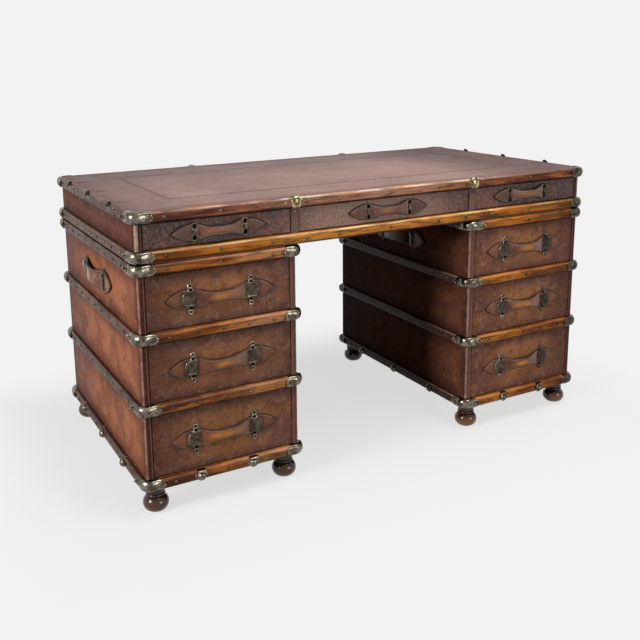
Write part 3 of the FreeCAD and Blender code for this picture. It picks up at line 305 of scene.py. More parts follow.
def writing_leather():
    """The top: faded mauve-brown, cloudy, with a tooled border of two lines."""
    paint = Paint("writing_leather", specular=0.06)
    edge = (CASE_HALF - abs(paint.x)).least(DEEP_HALF - abs(paint.y))
    paint.lay(paint.noise(3, 4, 0.55).step(0.3, 0.7), "957770", "a88b81")
    paint.flecks("896b63", 0.5, (40, 6, 0.75), 0.45, 0.7)
    paint.flecks("b8a097", 0.4, (65, 5, 0.75), 0.5, 0.7)
    # Painted shade: the top darker and cooler towards the back, and darker towards the right.
    paint.tint(paint.y.step(-0.05, 0.34, 0, 0.5), "64646f")
    paint.tint(paint.x.step(0.22, 0.62, 0, 0.8), "4c3a3d")
    paint.tint(paint.x.step(-0.5, -0.62, 0, 0.4), "66504f")
    paint.tint(edge.step(0.05, 0, 0, 0.6), "6b4a43")
    tooled = abs(edge - 0.136).least(abs(edge - 0.143)).step(0.0026, 0.001)
    paint.tint(tooled * 0.8, "45302a")
    paint.tint(abs(edge - 0.1395).step(0.0035, 0.002) * 0.16, "b39a8c")
    normal, _, pebbles = leather_grain(paint, 2.2, 0.25)
    paint.tint(pebbles.step(0.5, 0, 0, 0.18), "4f3831")
    return paint.finish(paint.noise(14, 4).step(0.35, 0.65, 0.52, 0.66),
                        paint.bump(tooled, 0.8, -0.0008, normal))


def rail_wood():
    """Varnished slats: streaked, redder at the top, amber below, dark on the sides, with painted
    highlights on their upper edges (greyish on the sides), painted light mid-length and painted
    shade below and at the ends.
    """
    paint = Paint("rail_wood", specular=0.04, coat=0.14, coat_roughness=0.12)
    case = paint.z.step(PARTING, PARTING + 0.002)
    past = paint.mix(case, off_pedestal(paint) - PEDESTAL_HALF, abs(paint.x) - CASE_HALF)
    side = (past - (abs(paint.y) - DEEP_HALF)).step(-0.002, 0.002)
    lengthwise = paint.mix(side, paint.x, paint.y)
    crosswise = paint.mix(side, paint.y, paint.x)
    streak = paint.noise(210, 5, 0.65, paint.join(lengthwise * 0.06, crosswise, paint.z), 0.4)
    cloud = paint.noise(7, 4, 0.6)
    clouded = cloud.step(0.4, 0.6)
    top = paint.z.step(CASE_BAY[1] - 0.004, CASE_BAY[1] - 0.002)
    below = case * (1 - top)
    paint.lay(below.step(0, 1, 0.6, 0),
              paint.blend(cloud.step(0.38, 0.62), "c87424", "96501c"),
              paint.blend(clouded, "bd6c31", "8c4a24"))
    paint.tint(paint.x.step(0.4, 0.1, 0.1, 0.8) * below, "dc8524")
    paint.tint(top, paint.blend(clouded, "b06f55", "8f5645"))
    paint.tint(paint.x.step(0.12, 0.45, 0, 0.65) * top, "6e3416")
    # Painted light: slats brighter in the middle of the case and in a patch on each pedestal.
    paint.tint(abs(paint.x + 0.05).step(0.42, 0.2, 0, 0.5) * case,
               paint.blend(top, "e4a04c", "c99a80"))
    paint.tint(abs(paint.x + 0.38).step(0.14, 0.03, 0, 0.6) * (1 - case), "dea573")
    paint.tint(abs(paint.x - 0.43).step(0.12, 0.03, 0, 0.5) * (1 - case), "e09028")
    # Painted shade towards the outer ends of the desk.
    paint.tint(abs(paint.x).step(0.45, 0.66, 0, 0.7), "4c2410")
    low = paint.z.step(PEDESTAL_BAYS[1][0] + 0.002, PEDESTAL_BAYS[1][0])
    paint.tint(low * paint.x.step(0, -0.02) * 0.35, "5d3a2a")
    paint.tint(side * 0.9, "35201a")
    paint.tint(streak.step(0.42, 0.62, 0, 0.75), "3a1c10")
    broad = paint.noise(70, 4, 0.6, paint.join(lengthwise * 0.1, 0, paint.z))
    paint.tint(broad.step(0.5, 0.62, 0, 0.55) * side.step(0, 1, 1, 0.15), "cc7c34")
    paint.tint(broad.step(0.46, 0.36, 0, 0.5), "32170d")
    rising = paint.normal()[2]
    # Painted highlight on the upper roundings, broken up like wear: pale gold in front, a greyish
    # painted reflection on the sides.
    rubbed = rising.step(0.2, 0.5) * rising.step(0.97, 0.8)
    rubbed *= paint.noise(9, 4).step(0.38, 0.6, 0.12, 0.85)
    rubbed *= abs(paint.x).step(0.3, 0.6, 1, 0.4)
    rubbed *= 1 - paint.x.step(0.2, 0.35, 0, 0.7) * top
    highlight_tone = paint.blend(below, paint.blend(top, "c98c62", "ecd8ca"), "ffe7a8")
    paint.tint(rubbed, paint.blend(side, highlight_tone, "9c8474"))
    # Painted shade on the downward-facing lower roundings.
    paint.tint(rising.step(-0.25, -0.7, 0, 0.8), "24110b")
    height = streak + paint.noise(45, 4) * 2
    return paint.finish(paint.noise(25, 4).step(0.3, 0.7, 0.24, 0.42),
                        paint.bump(height, 0.35, 0.0005))


def turned_wood():
    """Feet: dark varnished wood, warmer below and towards the right."""
    paint = Paint("turned_wood", specular=0.2, coat=0.45, coat_roughness=0.06)
    streak = paint.noise(60, 5, 0.6, paint.scaled(1, 1, 0.25))
    paint.lay(streak.step(0.36, 0.64), "200e08", "462412")
    paint.tint(paint.z.step(0.036, 0.014) * 0.62,
               paint.blend(paint.x.step(-0.3, 0.4), "6e3a1c", "a06826"))
    return paint.finish(paint.noise(50, 3).step(0.3, 0.7, 0.16, 0.3),
                        paint.bump(streak, 0.15, 0.0004))


def metal(name, bright, dull, dark, speck, low, high, share):
    """Tarnished metal: a bright tone, dull clouds and dark pitting, and painted shade towards the
    right and beside the right pedestal's inner side.
    """
    paint = Paint(name, metal=1)
    cloud = paint.noise(speck / 3, 5, 0.65)
    pits = paint.noise(speck, 6, 0.7)
    paint.lay(cloud.step(0.38, 0.62), bright, dull)
    paint.tint(pits.step(0.5, 0.66, 0, share), dark)
    # Painted shade: darker towards the right and beside the right pedestal's inner side.
    paint.tint(paint.x.step(0.3, 0.7, 0, 0.5), dark)
    paint.tint(in_kneehole(paint) * 0.65, dark)
    return paint.finish(pits.step(0.35, 0.7, low, high),
                        paint.bump(pits + cloud * 1.5, 0.35, 0.0006))


def strap_leather():
    """Bridle leather of the pulls: map U is the place along it, V the distance from its edge."""
    paint = Paint("strap_leather", specular=0.2)
    along, inward, _ = paint.split(paint.node("UVMap", uv_map="strap"))
    far = abs(along)
    body = inward.step(0.004, 0.014)
    paint.lay(paint.noise(24, 5, 0.65).step(0.35, 0.62), "7c4c37", "56332a")
    # Wear and a painted highlight: the grip lighter and orange along its arch, with a rubbed patch
    # near its middle on the drawers.
    glow = body * paint.noise(16, 3).step(0.42, 0.58)
    paint.tint(far.step(0.06, 0.03) * glow * 0.85, "bf7a42")
    on_front = paint.y.step(0.04 - DEEP_HALF, 0.02 - DEEP_HALF)
    rubbed = abs(along + 0.006).step(0.034, 0.008) * inward.step(0.003, 0.014) * on_front
    paint.tint(rubbed * 0.6, "d08a40")
    faded = along.step(0.012, 0.034) * far.step(0.07, 0.056) * on_front
    paint.tint(faded * 0.5, "9a7a6a")
    paint.tint(far.step(0.1, 0.115) * body * 0.5, "96603f")
    # Painted shade with grime: darker round the keepers.
    paint.tint(abs(far - 0.087).step(0.03, 0.014, 0, 0.65), "2c1a15")
    top = paint.z.step(CASE_BAY[0] - 0.01, CASE_BAY[0])
    paint.tint(top * 0.55, "6b4d44")
    uneven = paint.noise(35, 4).step(0.35, 0.6, 0.6, 0.95)
    paint.tint(inward.step(0.0042, 0.0026) * uneven.most(top), "1f100c")
    ridge = abs(inward - 0.0054).step(0.0012, 0.0004)
    paint.tint(ridge * paint.noise(50, 4).step(0.4, 0.6, 0.05, 0.4), "b89a80")
    paint.flecks("b18a6c", 0.35, (110, 6, 0.75), 0.54, 0.7)
    # Painted shade beside the right pedestal's inner side.
    paint.tint(in_kneehole(paint) * 0.5, "1a1010")
    return paint.finish(paint.noise(40, 3).step(0.3, 0.7, 0.3, 0.48),
                        paint.bump(paint.noise(420, 5, 0.6), 0.5, 0.0004))


def thread():
    """Waxed thread of the stitches."""
    paint = Paint("thread")
    twist = paint.noise(900, 3)
    paint.lay(twist.step(0.3, 0.7), "b39a80", "7a5f48")
    return paint.finish(0.6, paint.bump(twist, 0.4, 0.0003))


def carcass_wood():
    """Plain wood of the boxes and walls, streaked from front to back."""
    paint = Paint("carcass_wood", specular=0.35)
    streak = paint.noise(70, 6, 0.6, paint.scaled(1, 0.08, 1), 0.5)
    paint.lay(streak.step(0.3, 0.7), "a9794c", "7c5230")
    fine = paint.noise(500, 4, 0.6, paint.scaled(1, 0.04, 1))
    paint.tint(fine.step(0.5, 0.7, 0, 0.4), "5a3a22")
    return paint.finish(fine.step(0.3, 0.7, 0.45, 0.6), paint.bump(fine, 0.3, 0.0004))


# Bright, dull and dark tone, specks per metre, least and most roughness, share of the pits.
METALS = {
    "aged_brass": ("8a8173", "4a433a", "16120e", 170, 0.15, 0.32, 0.8),
    "bright_brass": ("948a6a", "5c533b", "241c10", 160, 0.18, 0.34, 0.65),
    "nail_brass": ("74604a", "3e3024", "140e0a", 300, 0.1, 0.2, 0.4),
    "keeper_metal": ("5a5145", "3a332a", "17130e", 220, 0.2, 0.36, 0.5),
    # The paler rim tones: a painted highlight on raised rims, rings and studs.
    "keeper_rim": ("aaa08c", "746a5a", "2a241c", 220, 0.18, 0.34, 0.35),
    "cap_rim": ("a39b8c", "69614f", "221d16", 190, 0.16, 0.3, 0.5),
    "band_metal": ("34281f", "211913", "100b08", 150, 0.2, 0.4, 0.6),
    # Near black: painted shade in holes and behind slots, and grime with painted shade in the
    # clasps' hollows.
    "recess_shade": ("0c0908", "120d0a", "050403", 90, 0.6, 0.8, 0.5),
}
FINISHES = {make.__name__: make() for make in (
    body_leather, drawer_leather, top_drawer_leather, writing_leather, rail_wood, turned_wood,
    carcass_wood, strap_leather, thread)}
FINISHES.update({name: metal(name, *look) for name, look in METALS.items()})

for part in frame["record"]["subparts"]:
    solid = frame["nodes"][part["node"]]
    solid.data.materials.clear()
    solid.data.materials.append(FINISHES[part["material_slot"]])


# ---- straps


def ease(t):
    t = min(max(t, 0), 1)
    return t * t * (3 - 2 * t)


def knots(value, table):
    """Smooth interpolation in a table of (place, value)."""
    for (a, va), (b, vb) in zip(table, table[1:]):
        if value <= b:
            return va + (vb - va) * ease((value - a) / (b - a))
    return table[-1][1]


def skin(bm, rings):
    """Faces between each closed ring of vertices and the next."""
    faces = []
    for a, b in zip(rings, rings[1:]):
        for k in range(len(a)):
            j = (k + 1) % len(a)
            faces.append(bm.faces.new((a[k], a[j], b[j], b[k])))
    return faces


# From here to the camera, shapes are in millimetres in a piece's own frame.
# Thickness of a strap by the distance from its edge: a rolled rim, a sewn groove, a crown.
SECTION = [(0, 2.2), (0.9, 4), (1.5, 4.1), (2.6, 3.1), (3.3, 3.1), (4.8, 3.9), (9, 4.3),
           (16, 4.5)]
RINGS = [0, 0.25, 0.6, 1.1, 1.7, 2.2, 2.8, 3.3, 4, 5, 6.5, 9, 13]
BACK = 0.15
SEAM = 2.9
SEAM_HEIGHT = 3.05
STITCH = 4.6


class Strap:
    """A strap in its own frame: u along it, v across it, n out from the face it lies on."""

    def __init__(self, length, lobe, waist, bow, hold, grip, foot, thick=1):
        self.tip, self.half, self.waist = length / 2, lobe / 2, waist / 2
        self.bow, self.hold, self.grip, self.thick = bow, hold, grip, thick
        reach = self.tip - hold
        self.point = (reach * reach + self.half * self.half) / lobe
        self.arc = (foot * foot + bow * bow) / (bow * 2)

    def edge(self, u):
        """Half the width at u."""
        u = abs(u)
        if u >= self.tip:
            return 0
        if u >= self.hold:
            return sqrt(self.point ** 2 - (u - self.hold) ** 2) - (self.point - self.half)
        share = ease((u - self.grip) / (self.hold - self.grip))
        return self.waist + (self.half - self.waist) * share

    def lift(self, u):
        """Height of the strap's back above the face, rounded where it leaves it."""
        rise = sqrt(max(self.arc ** 2 - u ** 2, 0)) - (self.arc - self.bow)
        soft = 1.2
        return max((rise + sqrt(rise * rise + soft * soft)) / 2 - soft * 0.02, 0)

    def across(self, u):
        """Cosine of the slope of the edge, to turn a true inset into one measured in v."""
        slope = self.edge(u + 0.5) - self.edge(u - 0.5)
        return 1 / sqrt(1 + min(slope * slope, 4))

    def at(self, u, v, thick):
        """A point at a height above the strap's back."""
        slope = self.lift(u + 0.5) - self.lift(u - 0.5)
        long = sqrt(1 + slope * slope)
        return Vector((u - slope / long * thick, v, self.lift(u) + thick / long))

    def stations(self):
        """Places along the strap, closer together near its tips."""
        spots = {self.tip - gap for gap in (0, 0.4, 0.9, 1.6, 2.5, 3.6)}
        u = 0
        while u < self.tip:
            spots.add(u)
            u += 2.4
        halves = sorted(spots)
        return [-s for s in reversed(halves) if s > 0] + halves


def strap_mesh(name, strap, spots):
    """One mesh of a strap at each of some places, given as matrices."""
    bm = bmesh.new()
    chart = bm.loops.layers.uv.new("strap")
    inset = {}

    def vertex(spot, u, v, depth, thick):
        vert = bm.verts.new(spot @ strap.at(u, v, thick))
        inset[vert] = (u * MM, depth * MM)
        return vert

    for spot in spots:
        rows = []
        for u in strap.stations():
            half, slant = strap.edge(u), strap.across(u)
            depths = [min(ring, half * slant) for ring in RINGS]
            left = [(depth / slant - half, depth) for depth in depths]
            line = left + [(0, half * slant)] + [(-v, depth) for v, depth in reversed(left)]
            row = [vertex(spot, u, v, depth, knots(depth, SECTION) * strap.thick)
                   for v, depth in line]
            back = [vertex(spot, u, v * 0.99, 0, BACK)
                    for v, _ in (line[0], line[len(RINGS)], line[-1])]
            rows.append(row + back[::-1])
        skin(bm, rows)
    for face in bm.faces:
        face.smooth = True
        for loop in face.loops:
            loop[chart].uv = inset[loop.vert]
    bmesh.ops.remove_doubles(bm, verts=bm.verts, dist=0.02 * MM)
    bmesh.ops.recalc_face_normals(bm, faces=bm.faces)
    for spot in spots:
        sew(bm, strap, spot)
    return to_object(name, bm, ("strap_leather", "thread"))


def sew(bm, strap, spot):
    """Stitches in the groove, one small bar of thread each."""
    for sign in (-1, 1):
        track = []
        u = -strap.tip
        while u <= strap.tip:
            v = strap.edge(u) - SEAM / strap.across(u)
            if v > 0.8:
                track.append(strap.at(u, sign * v, SEAM_HEIGHT * strap.thick))
            u += 0.5
        start, travelled = track[0], 0
        for a, b in zip(track, track[1:]):
            travelled += (b - a).length
            if travelled >= STITCH:
                bar(bm, (start + b) / 2, (b - start).normalized(), spot)
                start, travelled = b, 0


def bar(bm, middle, ahead, spot):
    """A stitch: a short rounded bar lying along the seam."""
    aside = Vector((0, 0, 1)).cross(ahead).normalized()
    over = ahead.cross(aside)
    rings = []
    for place, size in ((-1.6, 0.15), (-1.1, 0.5), (0, 0.62), (1.1, 0.5), (1.6, 0.15)):
        centre = middle + ahead * place
        rings.append([bm.verts.new(spot @ (centre + aside * cos(turn) * size
                                           + over * (sin(turn) * size * 0.8)))
                      for turn in (tau * k / 6 for k in range(6))])
    ends = [bm.faces.new(rings[0][::-1]), bm.faces.new(rings[-1])]
    for face in ends + skin(bm, rings):
        face.material_index = 1
        face.smooth = True


def linked(name, data):
    """A new object in the scene."""
    made = bpy.data.objects.new(name, data)
    bpy.context.collection.objects.link(made)
    return made


def to_mesh(bm, name="part"):
    mesh = bpy.data.meshes.new(name)
    bm.to_mesh(mesh)
    return mesh


def to_object(name, bm, finishes):
    mesh = to_mesh(bm, name)
    bm.free()
    for finish in finishes:
        mesh.materials.append(FINISHES[finish])
    piece = linked(name, mesh)
    return piece


# ---- keepers and clasps


# Material slots of the metal pieces.
MAIN, RIM, RECESS, BAND, TONGUE = range(5)


class Sheet:
    """Bent metal: grids of points with holes, given a thickness and softened, and studs."""

    def __init__(self):
        self.bm = bmesh.new()

    def grid(self, rows, thick=2, finish=MAIN, holes=()):
        """A sheet through rows of points of its inner face, thickened outwards.

        holes are (row, column) cells left out. finish is a material slot, or gives that of a
        cell.
        """
        bm = bmesh.new()
        verts = [[bm.verts.new(point) for point in row] for row in rows]
        for i, (a, b) in enumerate(zip(verts, verts[1:])):
            for j in range(len(a) - 1):
                if (i, j) not in holes:
                    face = bm.faces.new((a[j], a[j + 1], b[j + 1], b[j]))
                    face.material_index = finish(i, j) if callable(finish) else finish
        loose = [vert for vert in bm.verts if not vert.link_faces]
        bmesh.ops.delete(bm, geom=loose, context="VERTS")
        bmesh.ops.recalc_face_normals(bm, faces=bm.faces)
        if sum((face.normal for face in bm.faces), Vector()).z < 0:
            bmesh.ops.reverse_faces(bm, faces=bm.faces)
        bmesh.ops.solidify(bm, geom=bm.faces[:], thickness=thick)
        self.take(bm)

    def turned(self, profile, place=Vector(), lean=Matrix(), count=20, finish=MAIN, size=1):
        """A lathed stud: profile holds (share of its size, height)."""
        bm = bmesh.new()
        turns = [tau * k / count for k in range(count)]
        rings = [[bm.verts.new(lean @ Vector((cos(turn) * share * size,
                                              sin(turn) * share * size, height)) + place)
                  for turn in turns] for share, height in profile]
        skin(bm, rings)
        bm.faces.new(rings[0][::-1])
        bm.faces.new(rings[-1])
        for face in bm.faces:
            face.material_index = finish
        self.take(bm)

    def screw(self, radius, place, turn, lean=Matrix()):
        """A slotted screw head: two low half domes on a disc."""
        self.turned([(1, 0), (1, 0.5), (0.9, 0.7)], place, lean, 16, size=radius)
        slot = radius * 0.16
        spin = lean @ Matrix.Rotation(turn, 3, "Z").to_4x4()
        for side in (-1, 1):
            bm = bmesh.new()
            rings = []
            for share, height in ((0.88, 0.5), (0.86, 0.85), (0.62, 1.25), (0.3, 1.4)):
                r = radius * share
                start = asin(min(slot / r, 1))
                angles = [start + (pi - 2 * start) * k / 8 for k in range(9)]
                rings.append([bm.verts.new(spin @ Vector((cos(a) * r, side * sin(a) * r,
                                                          height)) + place) for a in angles])
            skin(bm, rings)
            bm.faces.new(rings[0])
            bm.faces.new(rings[-1])
            bmesh.ops.recalc_face_normals(bm, faces=bm.faces)
            self.take(bm)

    def take(self, bm):
        mesh = to_mesh(bm)
        bm.free()
        self.bm.from_mesh(mesh)
        bpy.data.meshes.remove(mesh)

    def soften(self):
        """Subdivides what is there so far."""
        mesh = to_mesh(self.bm)
        piece = linked("soft", mesh)
        piece.modifiers.new("smooth", "SUBSURF").levels = 1
        graph = bpy.context.evaluated_depsgraph_get()
        smooth = bpy.data.meshes.new_from_object(piece.evaluated_get(graph))
        self.bm.clear()
        self.bm.from_mesh(smooth)
        bpy.data.objects.remove(piece)
        bpy.data.meshes.remove(mesh)
        bpy.data.meshes.remove(smooth)


# The drawer keepers' legs stand this far off the middle of their plates, inwards.
LUG_SHIFT = -5


def keeper(width, plate, lug, radius, top, slot, tip_round, neck):
    """A metal keeper over a strap in its own frame: x along the strap, z outwards.

    Its plate bridges the strap, its legs bend down to two screwed lugs, and a slot pierces
    each leg. The tip end of the plate, at +x, is rounded.
    """
    sheet = Sheet()
    half, foot = width / 2, 0.5
    low, high = LUG_SHIFT - slot, LUG_SHIFT + slot

    def edges(v):
        v = abs(v)
        if v <= plate:
            past = max(v - (plate - tip_round), 0)
            right = half - tip_round + sqrt(max(tip_round ** 2 - past ** 2, 0))
            return -half + max(v - plate + 2, 0) * 0.6, max(right, neck + LUG_SHIFT)
        if v <= lug - radius:
            return LUG_SHIFT - neck, LUG_SHIFT + neck
        side = max(sqrt(max(radius ** 2 - (v - lug) ** 2, 0)), radius * 0.45)
        return LUG_SHIFT - side, LUG_SHIFT + side

    upper = [(0, top), (plate * 0.55, top), (plate - 3.4, top), (plate - 1.7, top + 0.7),
             (plate - 0.4, top + 0.5), (plate + 0.8, top - 0.6), (lug - radius, 4.4),
             (lug - radius * 0.5, 3.4), (lug, foot), (lug + radius * 0.6, foot),
             (lug + radius, foot - 0.3)]
    rows = []
    for v, z in [(-v, z) for v, z in reversed(upper[1:])] + upper:
        left, right = edges(v)
        on_leg = abs(v) > plate - 0.5
        rim = (right - high) / 3 if on_leg else 1.6
        across = [left, left + rim, left + rim * 2, low, high, right - rim * 2, right - rim, right]
        if on_leg and right <= high:
            across = [left + (right - left) * k / 7 for k in range(8)]
        lifts = (-0.5, 0.6, 0, 0, 0, 0, 0.6, -0.5) if abs(v) < plate - 1 else (0,) * 8
        rows.append([Vector((u, v, z + lift)) for u, lift in zip(across, lifts)])
    last = len(upper) - 1
    # The tip-side edge strip takes the paler rim metal: a painted highlight.
    sheet.grid(rows, 2, lambda i, j: RIM if j == 6 else MAIN, [(last + 5, 3), (last - 6, 3)])
    sheet.soften()
    for side in (-1, 1):
        # A near-black sheet under each slot: painted shade.
        slot_shade = [[Vector((LUG_SHIFT + way * (slot + 0.6), side * v, 4.9)) for way in (-1, 1)]
                  for v in (plate + 0.6, lug - radius + 0.4)]
        sheet.grid(slot_shade, 0.4, RECESS)
        # The lug's ring in the paler rim metal, a painted highlight; its hole near black, painted
        # shade.
        ring = Vector((LUG_SHIFT, side * (lug + 0.8), foot))
        sheet.turned([(0.86, 1.2), (0.86, 3.4), (0.7, 4), (0.56, 3.2)], ring, finish=RIM,
                     size=radius)
        sheet.turned([(0.6, 1.2), (0.58, 3.4)], ring, finish=RECESS, size=radius)
        sheet.screw(radius * 0.42, ring + Vector((0, 0, 2.4)), 0.4 + side)
    return sheet


def slotted_keeper(width, tall, top, slot, stud):
    """A narrow keeper as tall as its strap, slotted above and below a domed stud."""
    sheet = Sheet()
    half, reach = width / 2, tall / 2
    marks = [stud + 1.2, stud + 2.4, reach - 5, reach - 3.6, reach - 1.4, reach]
    rows = []
    for v in [-v for v in reversed(marks)] + [0] + marks:
        at_end = abs(v) >= reach
        edge = half - (1.6 if at_end else 0) + (1.2 if abs(v) < stud + 1 else 0)
        across = [-edge, -edge + 1.3, -slot - 0.4, -slot, slot, slot + 0.4, edge - 1.3, edge]
        rows.append([Vector((u, v, top - (1.2 if at_end or abs(u) == edge else 0)))
                     for u in across])
    middle = len(marks)
    # The left edge strip takes the paler rim metal: a painted highlight.
    sheet.grid(rows, 2.4, lambda i, j: RIM if j == 0 else MAIN,
               [(middle + k, 3) for k in (-4, -3, 2, 3)])
    sheet.soften()
    # A near-black sheet under the slots: painted shade.
    slot_shade = [[Vector((side * (slot + 0.5), v, top - 0.6)) for side in (-1, 1)]
              for v in (3 - reach, reach - 3)]
    sheet.grid(slot_shade, 1.4, RECESS)
    sheet.turned([(1, 1.2), (1, 3.2), (0.88, 3.9), (0.5, 4), (0.3, 3.6)],
                 Vector((0, 0, top)), size=stud)
    return sheet


def bar_keeper(half, reach, lug, top):
    """A carry handle's keeper: a domed bar across the strap, pinned beyond its edges."""
    sheet = Sheet()
    line = [(lug + 3.4, 2, 0.5), (lug + 1.6, 3.6, 1.4), (lug - 1.6, 4.2, 1.8),
            (reach + 1.6, 4.6, 3.4), (reach + 0.3, half * 0.7, top - 3.4),
            (reach - 1.6, half * 0.9, top - 1.2), (reach - 5, half, top), (reach * 0.4, half, top)]
    rows = []
    for v, wide, rise in [(-v, w, z) for v, w, z in line] + line[::-1]:
        crown = 3.2 * min(wide / half, 1)
        rows.append([Vector((share * wide, v,
                             rise + crown * (sqrt(1 - share * share) - 1) + 0.2))
                     for share in (-1, -0.86, -0.5, 0, 0.5, 0.86, 1)])
    sheet.grid(rows)
    sheet.soften()
    for side in (-1, 1):
        sheet.screw(2.7, Vector((0, side * lug, 3.4)), 0.4 + side)
    # A stud in the paler rim metal: a painted highlight.
    sheet.turned([(4.4, top + 0.6), (4.4, top + 2), (3.6, top + 2.9), (1.4, top + 3.6)],
                 Vector((0, reach * 0.62, 0)), finish=RIM)
    return sheet


# A slat's section: half its height, the rounding of its long edges and how far it stands out.
SLAT, ROUND, STAND = 14, 7, 12
FOLD = SLAT - ROUND
TURN = ROUND * pi / 2
# Turns a stud from the face to the top.
ON_TOP = Matrix.Rotation(-pi / 2, 4, "X")


def section(q, rise):
    """A point over a slat, q round its section from the middle of its face: (out, up)."""
    past = abs(q) - FOLD
    sign = copysign(1, q)
    if past <= 0:
        return rise, q
    if past <= TURN:
        angle = past / ROUND
        return (cos(angle) * (ROUND + rise) - ROUND,
                sign * (FOLD + sin(angle) * (ROUND + rise)))
    return -ROUND - (past - TURN), sign * (SLAT + rise)


def over_slat(u, q, rise):
    """The same in the frame of a straight piece: x along the slat, y up, z outwards."""
    out, up = section(q, rise)
    return Vector((u, up, out))


def patch(sheet, line, thick=1.6, finish=MAIN):
    """A plate wrapped round a slat; line holds (q, half width, extra rise)."""
    rows = []
    for q, wide, more in line:
        rim = 0.5 * (1 - ease((q - 8) / 5))
        rows.append([over_slat(share * wide, q, 0.1 + (rim if abs(share) == 0.93 else 0) + more)
                     for share in (-1, -0.93, -0.82, -0.4, 0, 0.4, 0.82, 0.93, 1)])
    sheet.grid(rows, thick, finish)


KNOB = [(12.6, 0.4), (12.6, 2.4), (11.6, 3.3), (10.6, 3.1), (10.2, 4.2), (9.6, 5.6), (8.2, 7.6),
        (6, 9.2), (3.2, 10.2), (0.8, 10.5)]


def cast_bracket(folded):
    """A cast bracket: a rounded plate with a large domed knob, low on the slat's face."""
    sheet = Sheet()
    high = 22.5 if folded else 15
    line = []
    for q in (-18.5, -17.6, -16, -12, -6, 0, 6, 12, 16, high - 1, high):
        wide = 17.5 * (1 - abs(q / (high + 1.6 if q > 0 else 20.1)) ** 3) ** (1 / 3)
        line.append((q, wide, 0.5 if abs(q) in (17.6, high - 1) else 0))
    patch(sheet, line)
    sheet.soften()
    sheet.turned(KNOB, Vector((0, -2.5, 0.2)))
    if folded:
        # Raised rings on top in the paler rim metal, a painted highlight, round holes painted near
        # black as shade.
        for side in (-1, 1):
            spot = Vector((side * 5.6, SLAT + 1.5, -ROUND - 1)), ON_TOP, 16
            sheet.turned([(1.35, 0), (1.35, 0.5), (1.15, 0.9), (0.9, 0.6)], *spot, RIM, 2.4)
            sheet.turned([(0.95, 0), (0.95, 0.72)], *spot, RECESS, 2.4)
    return sheet


def edge_band():
    """A dark band folded over a top slat, with a domed boss on the edge and a narrow tongue."""
    sheet = Sheet()
    band = [(-15.5, 16, 0), (-14.5, 18.5, 0.4), (-12, 19.6, 0)]
    band += [(q, 20, 0) for q in (-6, 0, 6, 10, 14, 17)]
    band += [(20, 19, 0), (21.5, 17, 0.2), (22.5, 13, 0)]
    patch(sheet, band, finish=BAND)
    tongue = [(19, 7, 0), (40, 7, 0), (60, 7, 0), (67, 6.4, 0), (70, 4.6, 0), (71, 2.4, -0.2)]
    patch(sheet, tongue, 0.4, TONGUE)
    sheet.soften()
    sheet.turned([(9.5, 0), (9.5, 1.2), (8.8, 2.6), (7, 4.4), (4.2, 5.7), (1.2, 6.2)],
                 over_slat(0, FOLD + TURN / 2, 1), Matrix.Rotation(-pi / 4, 4, "X"),
                 finish=BAND)
    return sheet


# The radius of a slat's corner, seen from above.
CORNER = 28


def corner_cap():
    """A pressed cap over a slat's corner, its ends rounded, swelling at the corner.

    The origin is the centre of the corner's curve at half the slat's height; the front leg
    runs along +x and the side leg along +y.
    """
    sheet = Sheet()
    leg, end = 26.4, 15
    places = [0, 0.7, 1.6, 2.8, 4.6, 7.5, 11.5, 15, 19, 23, leg]
    places += [leg + CORNER * pi / 4 * k / 4 for k in range(1, 5)]
    whole = leg * 2 + CORNER * pi / 2
    places += [whole - s for s in reversed(places[:-1])]
    rows = []
    for s in places:
        near = min(s, whole - s)
        tall = sqrt(max(end * end - max(end - near, 0) ** 2, 0.3))
        if tall <= FOLD:
            reach = tall
        elif tall < SLAT:
            reach = FOLD + ROUND * asin((tall - FOLD) / ROUND)
        else:
            reach = FOLD + TURN + (STAND - ROUND) * (tall - SLAT)
        if s < leg:
            foot, way = Vector((leg - s, -CORNER, 0)), Vector((0, -1, 0))
        elif s > whole - leg:
            foot, way = Vector((-CORNER, s - whole + leg, 0)), Vector((-1, 0, 0))
        else:
            angle = (s - leg) / CORNER
            way = Vector((-sin(angle), -cos(angle), 0))
            foot = way * CORNER
        swell = 3.4 * ease((near - 15) / 24)
        rim = 0.9 * (1 - ease((near - 3.4) / 2)) * ease(near / 1.2)
        row = []
        for share in (-1, -0.93, -0.82, -0.66, -0.5, -0.2, 0.2, 0.5, 0.66, 0.82, 0.93, 1):
            q = share * reach
            lip = 0.7 if abs(share) == 0.93 and near < end else 0
            crown = 1 - ease((abs(q) - 5) / 11)
            edge = max(rim, lip) * (1 - ease((abs(q) - 8) / 7))
            out, up = section(q, 0.05 + swell * crown + edge)
            row.append(foot + way * out + Vector((0, 0, up)))
        rows.append(row)
    # Rows near the ends take the paler rim metal: a painted highlight.
    sheet.grid(rows, 1.6, lambda i, j: RIM if min(i, len(rows) - 2 - i) < 3 else MAIN)
    sheet.soften()
    return sheet


